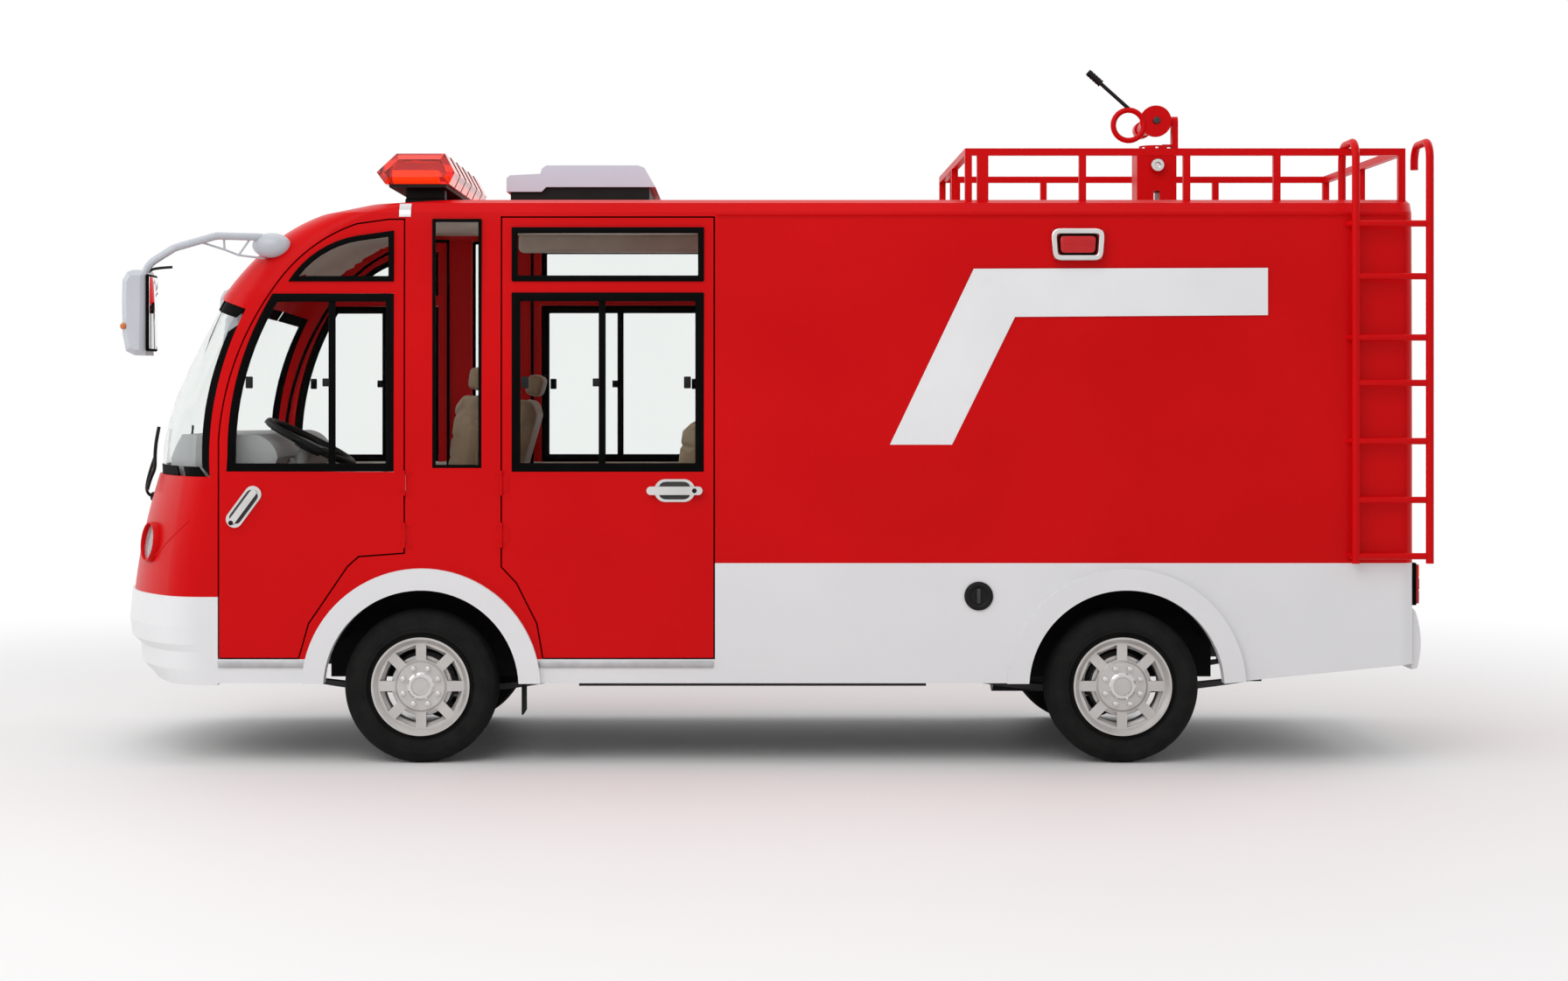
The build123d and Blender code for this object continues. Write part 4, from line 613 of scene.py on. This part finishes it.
# Wheel nuts and cap rings
nut_circle, nut_count, nut_radius, nut_depth = 0.070, 8, 0.0105, 0.014
ring_profile = [(0.066, 0.030), (0.0705, 0.034), (0.0705, 0.044), (0.066, 0.050), (0.060, 0.050),
                (0.060, 0.030)]
ring_steps = 48
for place, (x, y, z) in tyre_places.items():
    out = -1 if "left" in place else 1
    nuts = []
    for count in range(nut_count):
        turn = (count + 0.5) * 2 * pi / nut_count
        nut_x, nut_z = x + nut_circle * cos(turn), z + nut_circle * sin(turn)
        start = Vector((nut_x, y + out * 0.2, nut_z))
        _, seat, _, _ = nodes[f"rim_{place}"].ray_cast(start, Vector((0, -out, 0)))
        nuts.append(stud((nut_x, seat.y + out * 0.006, nut_z), nut_radius, nut_depth))
    fit_studs(nuts, f"wheel_nuts_{place}", f"{place}_wheel", chrome, 0.0015)
    ring = spun([(out * across, radius) for across, radius in ring_profile], (x, y, z), ring_steps)
    fit(ring, f"cap_ring_{place}", f"{place}_wheel", chrome)

# Surrounds of the headlamps
lamp_aim = Vector((-0.86, -0.5, 0.12)).normalized()
lamp_place = Vector((-2.310, -0.505, 0.809))
lamp_turn = Vector((0, -1, 0)).rotation_difference(lamp_aim).to_matrix().to_4x4()
rim_profile = [(0.030, 0.066), (-0.006, 0.066), (-0.012, 0.069), (-0.012, 0.073), (-0.004, 0.077),
               (0.030, 0.077)]
rim = spun(rim_profile, (0, 0, 0), 56)
rim.data.transform(Matrix.Translation(lamp_place) @ lamp_turn)
pair(rim, "lamp_rim", fixed, red_paint)

# White band along the box sides
band = plate([(0.785, 1.8295), (1.8705, 1.8327), (1.8705, 1.6583), (0.9372, 1.6518), (0.7047, 1.1803),
              (0.4754, 1.1803)], side_y + 0.0005, side_y - 0.0008)
pair(band, "side_band", fixed, vinyl_white)

# Lining inside the cab's roof and along the doors
lining_thick, facing_inwards = 0.002, 0.6
cab_front, cab_rear, cab_middle_z = -1.7, -0.3, 1.3
lining_low_z, lining_half_wide, trim_top_z = 1.86, 0.69, 1.075


def lining(node, name, body, keep):
    """A thin lining on the inner faces of a panel, where keep says so."""
    piece = node_copy(node)
    bpy.ops.mesh.select_all(action="DESELECT")
    bpy.ops.object.mode_set(mode="OBJECT")
    for face in piece.data.polygons:
        centre = face.center
        inner = Vector((min(max(centre.x, cab_front), cab_rear), 0, cab_middle_z)) - centre
        face.select = not (face.normal.dot(inner.normalized()) > facing_inwards and keep(centre))
    bpy.ops.object.mode_set(mode="EDIT")
    bpy.ops.mesh.delete(type="FACE")
    bpy.ops.object.mode_set(mode="OBJECT")
    modify(piece, "SOLIDIFY", thickness=lining_thick, offset=1.0)
    fit(piece, name, body, liner_felt)


def under_roof(place):
    """Whether a place is on the roof's inner side, away from the doors' openings."""
    return place.z > lining_low_z and abs(place.y) < lining_half_wide


def under_window(place):
    """Whether a place on a door is below its window."""
    return place.z < trim_top_z


lining("cab_frame", "headliner", "vehicle", under_roof)
for place in ("front", "rear"):
    for side in ("left", "right"):
        lining(f"door_{place}_{side}", f"door_trim_{place}_{side}", f"{place}_{side}_door", under_window)

# Seats: cushions swollen as cloth, with sewn channels
swell_pressure, swell_frames, swell_cap, cloth_mesh = 4.0, 20, 0.024, 0.006
facing_share, channel_deep, channel_half, edge_share = 0.35, 0.007, 0.007, 0.28


def puffed(low, high, name):
    """A cushion between two corners, blown up as cloth from a slightly smaller block."""
    piece = slab(low, high)
    soften(piece, min(b - a for a, b in zip(low, high)) * edge_share, 3, 30)
    piece.name = name
    modify(piece, "REMESH", mode="VOXEL", voxel_size=cloth_mesh)
    first = [corner.co.copy() for corner in piece.data.vertices]
    cloth = piece.modifiers.new("cloth", "CLOTH")
    cloth.settings.use_pressure = True
    cloth.settings.uniform_pressure_force = swell_pressure
    cloth.settings.effector_weights.gravity = 0
    cloth.settings.quality = 4
    cloth.point_cache.frame_start, cloth.point_cache.frame_end = 1, swell_frames
    for step in range(1, swell_frames + 1):
        bpy.context.scene.frame_set(step)
    take_up(piece)
    bpy.ops.object.modifier_apply(modifier="cloth")
    bpy.context.scene.frame_set(1)
    for corner, start in zip(piece.data.vertices, first):
        move = corner.co - start
        if move.length > swell_cap:
            corner.co = start + move.normalized() * swell_cap
    return piece


def sewn(piece, facing, across, lines):
    """Presses sewn channels into the faces that look a given way, along lines across an axis."""
    out = Vector(facing)
    for corner in piece.data.vertices:
        if corner.normal.dot(out) < facing_share:
            continue
        for line in lines:
            far = abs(corner.co[across] - line) / channel_half
            if far < 3:
                corner.co = corner.co - out * channel_deep * exp(-far * far)


def seat_piece(piece, name, node):
    """Finishes a cushion as a padded piece of a seat."""
    fit(piece, name, "vehicle", seat_cloth, 60)
    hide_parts(node)


def seat_twin(piece, name, node, change):
    """A second padded piece of the same form."""
    twin = copy_of(piece, name, "vehicle", change)
    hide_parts(node)


seat_mid, seat_half = -0.37, 0.23
near_lean, far_lean = 0.13, 0.27
seat_foot = Vector((-1.190, 0, 0.850))
channel_y = (seat_mid - 0.12, seat_mid + 0.12)


def leaning(foot, turn, shift=0.0):
    """How a seat's back leans about its foot, and slides on its rails."""
    slide = Vector((shift, 0, 0))
    return Matrix.Translation(foot + slide) @ Matrix.Rotation(turn, 4, "Y") @ Matrix.Translation(-foot)


seat_cushion = puffed((-1.632, seat_mid - seat_half + 0.014, 0.748),
                      (-1.180, seat_mid + seat_half - 0.014, 0.850), "cushion")
sewn(seat_cushion, (0, 0, 1), 1, channel_y)
sewn(seat_cushion, (0, 0, 1), 0, (-1.52, -1.43, -1.34))
seat_back = puffed((-1.178, seat_mid - seat_half + 0.016, 0.858),
                   (-1.116, seat_mid + seat_half - 0.016, 1.380), "back")
sewn(seat_back, (-1, 0, 0), 1, channel_y)
sewn(seat_back, (-1, 0, 0), 2, (0.97, 1.05, 1.13, 1.21, 1.29))
headrest = puffed((-1.172, seat_mid - 0.118, 1.395), (-1.108, seat_mid + 0.118, 1.478), "headrest")
for kind, piece, fill in (("cushion", seat_cushion, 0.7), ("back", seat_back, 0.7),
                          ("headrest", headrest, 0.8)):
    near, far = Matrix.Identity(4), Matrix.Translation((0.05, 0, 0))
    if kind != "cushion":
        near, far = leaning(seat_foot, near_lean, -0.01), leaning(seat_foot, far_lean, 0.07)
    seat_piece(piece, f"driver_seat_{kind}", "front_seats")
    seat_twin(piece, f"passenger_seat_{kind}", "front_seats", OTHER_SIDE @ far)
    piece.data.transform(near)
bench_low, bench_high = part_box("rear_bench")
bench_x, bench_z = bench_low[0], bench_low[2]
place_wide, bench_lean, bench_fill = 0.413, 0.13, 0.7
bench_foot = Vector((bench_x + 0.42, 0, bench_z + 0.12))
bench_cushion = puffed((bench_x + 0.016, -place_wide / 2 + 0.010, bench_z + 0.014),
                       (bench_x + 0.405, place_wide / 2 - 0.010, bench_z + 0.114), "bench_cushion")
sewn(bench_cushion, (0, 0, 1), 0, (bench_x + 0.12, bench_x + 0.22, bench_x + 0.32))
bench_back = puffed((bench_x + 0.425, -place_wide / 2 + 0.010, bench_z + 0.125),
                    (bench_x + 0.485, place_wide / 2 - 0.010, bench_high[2] - 0.014), "bench_back")
sewn(bench_back, (-1, 0, 0), 2, [bench_z + 0.125 + 0.09 * step for step in range(1, 5)])
bench_back.data.transform(leaning(bench_foot, bench_lean))
for kind, piece in (("cushion", bench_cushion), ("back", bench_back)):
    seat_piece(piece, f"bench_{kind}_middle", "rear_bench")
    for side, shift in (("left", -place_wide), ("right", place_wide)):
        seat_twin(piece, f"bench_{kind}_{side}", "rear_bench", Matrix.Translation((0, shift, 0)))

# Black border about the windscreen
border, side_border, border_thick = 0.036, 0.046, 0.008
pillar_x, screen_facing = -1.5, 0.45
screen = node_copy("fixed_glass")
bpy.ops.object.mode_set(mode="OBJECT")
for face in screen.data.polygons:
    centre = face.center
    away = Vector((min(centre.x - 0.4, -0.5), centre.y, 0.55)).normalized()
    face.select = not (centre.x < pillar_x and face.normal.dot(away) > screen_facing)
bpy.ops.object.mode_set(mode="EDIT")
bpy.ops.mesh.delete(type="FACE")
bpy.ops.mesh.select_all(action="SELECT")
bpy.ops.mesh.region_to_loop()
bpy.ops.object.mode_set(mode="OBJECT")
edge_places = [screen.data.vertices[edge.vertices[0]].co.copy() for edge in screen.data.edges if edge.select]
bpy.ops.object.mode_set(mode="EDIT")
bpy.ops.mesh.select_mode(type="FACE")
bpy.ops.mesh.select_all(action="SELECT")
bpy.ops.mesh.delete(type="ONLY_FACE")
bpy.ops.mesh.select_mode(type="EDGE")
bpy.ops.mesh.select_all(action="DESELECT")
bpy.ops.object.mode_set(mode="OBJECT")
rim_places = {tuple(round(value, 5) for value in place) for place in edge_places}
for corner in screen.data.vertices:
    corner.select = tuple(round(value, 5) for value in corner.co) not in rim_places
bpy.ops.object.mode_set(mode="EDIT")
bpy.ops.mesh.select_mode(type="VERT")
bpy.ops.mesh.delete(type="VERT")
bpy.ops.mesh.select_all(action="SELECT")
screen_low, screen_high = (pick(place.z for place in edge_places) for pick in (min, max))
screen_front, screen_back = (pick(place.x for place in edge_places) for pick in (min, max))
screen_wide = max(place.y for place in edge_places) * 2
screen_mid = (screen_front, 0, (screen_high + screen_low) / 2)
bpy.ops.mesh.extrude_edges_move()
shares = (1 - side_border / (screen_back - screen_front), 1 - 0.4 * border / screen_wide,
          1 - 2 * border / (screen_high - screen_low))
bpy.ops.transform.resize(value=shares, center_override=screen_mid)
bpy.ops.mesh.select_all(action="SELECT")
bpy.ops.mesh.normals_make_consistent(inside=False)
bpy.ops.object.mode_set(mode="OBJECT")
modify(screen, "SHRINKWRAP", target=nodes["fixed_glass"])
modify(screen, "SOLIDIFY", thickness=border_thick, offset=0.0)
fit(screen, "screen_border", "vehicle", rubber_seal, 40)

# Wipers on the nose, with their blades on the screen
nose = ("nose_panel", "fixed_glass", "cab_frame")
blade_stand, elbow_stand, joint_stand = 0.0352, 0.044, 0.0374


def off_screen(y, z, stand):
    """A place that stands clear of the nose or the windscreen by so much."""
    return (front_x(nose, y, z) - stand, y, z)


blade = tube([off_screen(-0.345 + 0.010 * step, 1.00 + 0.04 * step, blade_stand) for step in range(7)],
             0.007, True)
arm_root = Vector(off_screen(-0.12, 0.965, 0))
arm = tube([tuple(arm_root + Vector((0.01, 0, 0))), tuple(arm_root - Vector((0.03, 0, 0))),
            off_screen(-0.22, 1.03, elbow_stand), off_screen(-0.315, 1.12, joint_stand)], 0.006, True)
knob = spun([(0.0, 0.0), (-0.026, 0.0), (-0.026, 0.014), (-0.020, 0.018), (0.0, 0.020)], (0, 0, 0), 20)
knob.data.transform(Matrix.Translation(arm_root + Vector((0.012, 0, 0))) @ Matrix.Rotation(-pi / 2, 4, "Z"))
wiper = joined([blade, arm, knob])
pair(wiper, "wiper", fixed, black_plastic)

# Light bar: lit blocks and reflectors under the lens, seams and boots
bar_x, bar_mid_z, light_step, pocket_edge = -1.290, 2.192, 0.13, 0.006
blocks = []
for count in range(10):
    mid = (count - 4.5) * light_step
    block = slab((bar_x - 0.085, mid - 0.048, bar_mid_z - 0.026),
                 (bar_x + 0.085, mid + 0.048, bar_mid_z + 0.010))
    choose_faces(block, lambda face: abs(face.normal.z) < 0.5)
    bpy.ops.mesh.inset(thickness=pocket_edge, use_individual=True)
    bpy.ops.transform.shrink_fatten(value=-pocket_edge)
    close_up()
    blocks.append(block)
lights = joined(blocks)
soften(lights, 0.0015, 1)
fit(lights, "bar_lights", "vehicle", amber_lamp)
fin_line = [(bar_x + along, bar_mid_z + up) for along, up in (
    (-0.105, -0.030), (-0.105, 0.012), (-0.060, 0.050), (0.080, 0.050), (0.110, 0.012), (0.105, -0.030))]
half_fin = 0.004
reflectors = []
for count in range(9):
    mid = (count - 4) * light_step
    reflectors.append(plate(fin_line, mid - half_fin, mid + half_fin))
fins = joined(reflectors)
soften(fins, 0.001, 1)
fit(fins, "bar_reflectors", "vehicle", chrome)
lens_line = [(-1.404, 2.152), (-1.436, 2.196), (-1.361, 2.266), (-1.181, 2.266), (-1.144, 2.196),
             (-1.165, 2.152)]
proud = 0.0015
seam_line = [(x + (proud if x > bar_x else -proud), z + (proud if z > 2.16 else 0)) for x, z in lens_line]
seams = [plate(seam_line, mid - half_fin, mid + half_fin, 0.004) for mid in (-0.43, -0.215, 0.0, 0.215, 0.43)]
fit(joined(seams), "bar_seams", "vehicle", rubber_seal)
boots = []
for mid in (-0.48, 0.48):
    boot = slab((-1.344, mid - 0.034, 2.086), (-1.190, mid + 0.034, 2.106))
    soften(boot, 0.006, 3)
    boots.append(boot)
    cover = slab((-1.338, mid - 0.033, 2.104), (-1.196, mid + 0.033, 2.142))
    soften(cover, 0.004)
    boots.append(cover)
fit(joined(boots), "bar_boots", "vehicle", black_plastic)

# Strap over the roof's edge beside the bar, and the drip rails
strap_x, strap_mid_x, strap_thick = (-1.337, -1.294), -1.315, 0.002
heights = [2.012 + 0.010 * step for step in range(7)]
strap_places = [(outside_y(("cab_frame",), strap_mid_x, z), z) for z in heights]
strap_places = [(y, z) for y, z in strap_places if y is not None]
strap = corners_ring([(strap_x[0], y - strap_thick, z) for y, z in strap_places]
                     + [(strap_x[0], y + strap_thick / 2, z) for y, z in reversed(strap_places)], "NGON")
edit_all()
bpy.ops.mesh.extrude_region_move(TRANSFORM_OT_translate={"value": (strap_x[1] - strap_x[0], 0, 0)})
close_up()
pair(strap, "roof_strap", fixed, brushed)
rail = slab((-0.165, side_y - 0.003, 2.029), (2.372, side_y + 0.0015, 2.035))
soften(rail, 0.0015)
pair(rail, "drip_rail", fixed, red_paint)

# Sill strips, charge cap and side markers' rims
for name, low, high in (("front", -2.004, -1.640), ("rear", -0.820, -0.176)):
    strip = slab((low, side_y - 0.0065, 0.358), (high, side_y + 0.0005, 0.382))
    soften(strip, 0.002)
    pair(strip, f"sill_strip_{name}", fixed, brushed)
cap_x, cap_z = 0.803, 0.6217
cap_profile = [(0.002, 0.0), (-0.006, 0.0), (-0.006, 0.010), (-0.0035, 0.012), (-0.0035, 0.030),
               (-0.007, 0.033), (-0.009, 0.040), (-0.009, 0.047), (-0.006, 0.053), (0.002, 0.053)]
cap = spun(cap_profile, (cap_x, side_y, cap_z), ring_steps)
fit(cap, "charge_cap", "vehicle", black_plastic)
cap_rib = slab((cap_x - 0.007, side_y - 0.010, cap_z - 0.028), (cap_x + 0.007, side_y - 0.003, cap_z + 0.028))
soften(cap_rib, 0.003, 3)
fit(cap_rib, "charge_cap_rib", "vehicle", dark_steel)
rim_line = [(1.075, 1.859), (1.066, 1.977), (1.267, 1.977), (1.258, 1.859)]
rim = plate(rounded(rim_line, 0.034), side_y + 0.0005, side_y - 0.0315, 0.020)
soften(rim, 0.005, 3, 50)
pair(rim, "marker_rim", fixed, chrome)
recess_line = [(1.096, 1.878), (1.090, 1.958), (1.243, 1.958), (1.237, 1.878)]
recess = plate(rounded(recess_line, 0.020), side_y - 0.0235, side_y - 0.0255)
pair(recess, "marker_recess", fixed, rubber_seal)
lens_edge = [(1.104, 1.887), (1.100, 1.949), (1.233, 1.949), (1.229, 1.887)]
lens = plate(rounded(lens_edge, 0.016), side_y - 0.025, side_y - 0.0285)
soften(lens, 0.0018, 2, 50)
ribs = [lens]
for z in (1.902, 1.918, 1.934):
    rib = slab((1.112, side_y - 0.030, z - 0.003), (1.221, side_y - 0.0275, z + 0.003))
    soften(rib, 0.001, 1)
    ribs.append(rib)
pair(joined(ribs), "marker_lens", fixed, lamp_red)

# Tail lamps: dark rims and the clear, red and amber parts
tail_x, tail_half, tail_low_y, tail_high_y = 2.440, 0.004, -0.695, -0.605
for name, low, high, material, slot in (("clear", 0.594, 0.636, white_plastic, "lamp_clear"),
                                        ("red", 0.641, 0.684, lamp_red, "lamp_red"),
                                        ("amber", 0.689, 0.731, amber_lamp, "lamp_red")):
    part = slab((tail_x - tail_half, tail_low_y, low), (tail_x + tail_half, tail_high_y, high))
    soften(part, 0.003)
    pair(part, f"tail_{name}", fixed, material)
tail_frame = slab((2.414, -0.706, 0.584), (2.430, -0.594, 0.741))
choose_faces(tail_frame, lambda face: abs(face.normal.x) > 0.5)
bpy.ops.mesh.inset(thickness=0.0065)
bpy.ops.mesh.delete(type="FACE")
bpy.ops.mesh.select_mode(type="EDGE")
bpy.ops.mesh.select_all(action="DESELECT")
bpy.ops.mesh.select_non_manifold()
bpy.ops.mesh.bridge_edge_loops()
close_up()
soften(tail_frame, 0.002)
pair(tail_frame, "tail_rim", fixed, rubber_seal)

# Mirrors: dark-rimmed glass, indicator and rod
rim = slab((-2.2215, -0.982, 1.522), (-2.2095, -0.828, 1.800))
soften(rim, 0.018, 4)
pair(rim, "mirror_rim", fixed, rubber_seal)
glass = slab((-2.2105, -0.973, 1.531), (-2.2075, -0.837, 1.791))
soften(glass, 0.0012, 2)
pair(glass, "mirror_glass", fixed, mirror_face)
dot = spun([(0.004, 0.0), (-0.006, 0.0), (-0.004, 0.008), (0.004, 0.012)], (0, 0, 0), 20)
dot.data.transform(Matrix.Translation((-2.300, -0.990, 1.612)))
pair(dot, "mirror_indicator", fixed, indicator_amber)
rod_path = [(-2.236, 1.790), (-2.228, 1.818), (-2.180, 1.826), (-2.140, 1.828)]
rod = tube([(x, -0.905, z) for x, z in rod_path], 0.005, True)
pair(rod, "mirror_rod", fixed, black_plastic)

# Monitor: black sleeve and grip on the lever, bolts and a hose cap
lever_low, lever_high = Vector((1.470, -0.038, 2.486)), Vector((1.298, -0.038, 2.640))
run = lever_low - lever_high
sleeve = tube([tuple(lever_high), tuple(lever_high + run * 0.94)], 0.0078, sides=16)
core = tube([tuple(lever_high - run * 0.004), tuple(lever_high + run * 0.30)], 0.0133, sides=16)
grip_parts = [sleeve, core]
for share in (0.03, 0.09, 0.15, 0.21, 0.27):
    at = lever_high + run * share
    grip_parts.append(tube([tuple(at), tuple(at + run * 0.03)], 0.0146, sides=16))
grip = joined(grip_parts)
fit(grip, "lever_grip", "monitor_nozzle", black_plastic)
flange_x, flange_circle = 1.565, 0.069
turns = [count * pi / 4 for count in range(8)]
bolts = [stud((flange_x + flange_circle * cos(turn), flange_circle * sin(turn), 2.338), 0.007, 0.008, turn=0)
         for turn in turns]
fit_studs(bolts, "flange_bolts", "vehicle", chrome, 0.001, 1)
hose_profile = [(0.004, 0.0), (-0.004, 0.0), (-0.004, 0.009), (-0.010, 0.012), (-0.010, 0.024),
                (-0.004, 0.028), (0.004, 0.028)]
hose_cap = spun(hose_profile, (flange_x, -0.0915, 2.268), 32)
fit(hose_cap, "hose_cap", "vehicle", chrome)

# Mud flaps behind the front wheels
flap = slab((-0.886, -0.728, 0.180), (-0.879, -0.560, 0.318))
soften(flap, 0.002)
pair(flap, "mud_flap", fixed, tyre_rubber)

# Vents of the dashboard
dash_rear_x = -1.95


def dash_x(y, z):
    """How far back the dashboard reaches at a place in front view."""
    hit, place, _, _ = nodes["dashboard"].ray_cast(Vector((-0.8, y, z)), Vector((-1, 0, 0)))
    return place.x if hit else dash_rear_x


vents = []
for y in (-0.60, -0.16, 0.16, 0.60):
    x = dash_x(y, 1.02)
    hood = slab((x - 0.006, y - 0.060, 0.990), (x + 0.008, y + 0.060, 1.050))
    soften(hood, 0.004)
    vents.append(hood)
    for z in (1.002, 1.014, 1.026, 1.038):
        slat = slab((x + 0.006, y - 0.052, z - 0.002), (x + 0.013, y + 0.052, z + 0.002))
        vents.append(slat)
fit(joined(vents), "dash_vents", "vehicle", black_plastic)

# Tailgate handle
handle = tube([(2.417, -0.11, 0.90), (2.447, -0.11, 0.90), (2.447, 0.11, 0.90), (2.417, 0.11, 0.90)], 0.008,
              sides=16)
fit(handle, "tailgate_handle", "tailgate", chrome)

# Water tank's bands and filler
bands = []
tank_low, tank_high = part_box("water_tank")
half_band, band_thick = 0.020, 0.003
for share in (0.25, 0.75):
    x = tank_low[0] + (tank_high[0] - tank_low[0]) * share
    bands.append(slab((x - half_band, tank_low[1] - 0.002, tank_high[2] - 0.001),
                      (x + half_band, tank_high[1] + 0.002, tank_high[2] + band_thick)))
    for y in (tank_low[1] - band_thick, tank_high[1]):
        bands.append(slab((x - half_band, y, tank_low[2]),
                          (x + half_band, y + band_thick, tank_high[2] + band_thick)))
band_set = joined(bands)
soften(band_set, 0.001, 1)
fit(band_set, "tank_bands", "vehicle", brushed)
filler = spun([(0.0, 0.0), (0.030, 0.0), (0.030, 0.060), (0.022, 0.066), (0.0, 0.066)], (0, 0, 0), 32)
filler_place = ((tank_low[0] + tank_high[0]) / 2, 0.3, tank_high[2])
filler.data.transform(Matrix.Translation(filler_place) @ Matrix.Rotation(pi / 2, 4, "X"))
fit(filler, "tank_filler", "vehicle", black_plastic)

# Door seals behind the gaps, and black liners inboard of the wheels
front_door_line = [(-2.006, 0.388), (-2.006, 1.200),
                   *arc((-2.006, 1.200), (-1.938, 1.510), (-1.804, 1.760), 8),
                   *arc((-1.804, 1.760), (-1.672, 1.903), (-1.494, 1.999), 6),
                   (-1.374, 2.016), (-1.314, 2.016), (-1.314, 0.777), (-1.485, 0.764), (-1.525, 0.728),
                   (-1.668, 0.518), (-1.705, 0.388)]
rear_door_line = [(-0.962, 0.728), (-0.962, 2.024), (-0.170, 2.024), (-0.170, 0.388), (-0.808, 0.388),
                  (-0.830, 0.518), (-0.905, 0.667)]
door_seal_y, door_seal_depth, door_seal_wide = side_y + 0.0415, 0.008, 0.012
door_seal_grow = (1.012, 1.0, 1.006, 1.0)
for name, line in (("front", front_door_line), ("rear", rear_door_line)):
    seal = plate(line, door_seal_y, door_seal_y + door_seal_depth, door_seal_wide)
    middle = Vector((sum(x for x, z in line) / len(line), 0, sum(z for x, z in line) / len(line)))
    grow = Matrix.Translation(middle) @ Matrix.Diagonal(door_seal_grow) @ Matrix.Translation(-middle)
    seal.data.transform(grow)
    pair(seal, f"door_seal_{name}", fixed, rubber_seal)
for name, low, high in (("front", -1.640, -0.880), ("rear", 0.975, 1.720)):
    liner = slab((low, -0.402, 0.288), (high, -0.398, 0.470))
    soften(liner, 0.001, 1)
    pair(liner, f"wheel_liner_{name}", fixed, floor_mat)

# Handle pockets' painted shade, as dark plates on the doors, and locks
pocket_shade_in_y, pocket_shade_out_y, lock_y = side_y - 0.0035, side_y - 0.0052, side_y - 0.0265
lock_profile = [(0.0, 0.0), (-0.0015, 0.0), (-0.0015, 0.004), (-0.003, 0.005), (-0.003, 0.008), (0.0, 0.009)]
for name, x, z, lean, long, tall, lock_x in (("front", -1.9095, 0.951, 0.933, 0.140, 0.046, -0.0728),
                                             ("rear", -0.319, 1.011, 0.0, 0.118, 0.066, 0.07316)):
    corners = [(-long / 2, -tall / 2), (-long / 2, tall / 2), (long / 2, tall / 2), (long / 2, -tall / 2)]
    # A thin dark plate standing on the door where the handle's hollow lies: painted shade of the pocket, not
    # a part of its own
    pocket_shade = plate(rounded(corners, tall * 0.48), pocket_shade_in_y, pocket_shade_out_y)
    turn = Matrix.Translation((x, 0, z)) @ Matrix.Rotation(-lean, 4, "Y")
    pocket_shade.data.transform(turn)
    pair(pocket_shade, f"handle_pocket_{name}", doors[name], dark_steel)
    lock = spun(lock_profile, (0, 0, 0), 24)
    lock.data.transform(turn @ Matrix.Translation((lock_x, lock_y, 0)))
    pair(lock, f"door_lock_{name}", doors[name], black_plastic)

# Latches at the panes' ends, and the fold on the nose
for name, x, door in (("front_end", -1.890, "front"), ("rear_end", -0.272, "rear"),
                      ("rear_start", -0.872, "rear")):
    latch = slab((x - half_bar, side_y - 0.002, 1.388), (x + half_bar, latch_in_y, 1.432))
    soften(latch, 0.004, 3)
    pair(latch, f"pane_latch_{name}", doors[door], black_plastic)
fold_start, fold_end, fold_steps, fold_sunk = (-2.118, 0.899), (-2.275, 0.764), 8, 0.0025
fold = []
for step in range(fold_steps + 1):
    share = step / fold_steps
    x = fold_start[0] + (fold_end[0] - fold_start[0]) * share
    z = fold_start[1] + (fold_end[1] - fold_start[1]) * share
    y = outside_y(("nose_panel",), x, z)
    if y is not None:
        fold.append((x, y + fold_sunk, z))
crease = tube(fold, 0.005, True)
pair(crease, "nose_fold", fixed, red_paint)

# Padded coves along the ceiling's sides, and the gear cover's ring and bolts
cove = slab((-1.010, -0.690, 1.962), (-0.168, -0.610, 2.040))
soften(cove, 0.020, 4)
pair(cove, "ceiling_cove", fixed, liner_felt)
gear_x, gear_z, gear_circle = 1.569, 2.449, 0.040
cover = spun([(0.001, 0.050), (-0.003, 0.052), (-0.003, 0.058), (0.001, 0.060)], (0, 0, 0), ring_steps)
cover.data.transform(Matrix.Translation((gear_x, -0.036, gear_z)))
fit(cover, "gear_ring", "monitor_nozzle", red_paint)
turns = [count * pi / 3 for count in range(6)]
bolt_places = [(gear_x + gear_circle * cos(turn), gear_z + gear_circle * sin(turn)) for turn in turns]
gear_bolts = [stud((x, -0.0395, z), 0.006, 0.009) for x, z in bolt_places]
gear_bolts.append(stud((gear_x, -0.042, gear_z), 0.014, 0.016, sides=32))
fit_studs(gear_bolts, "gear_bolts", "monitor_nozzle", dark_steel, 0.0012)
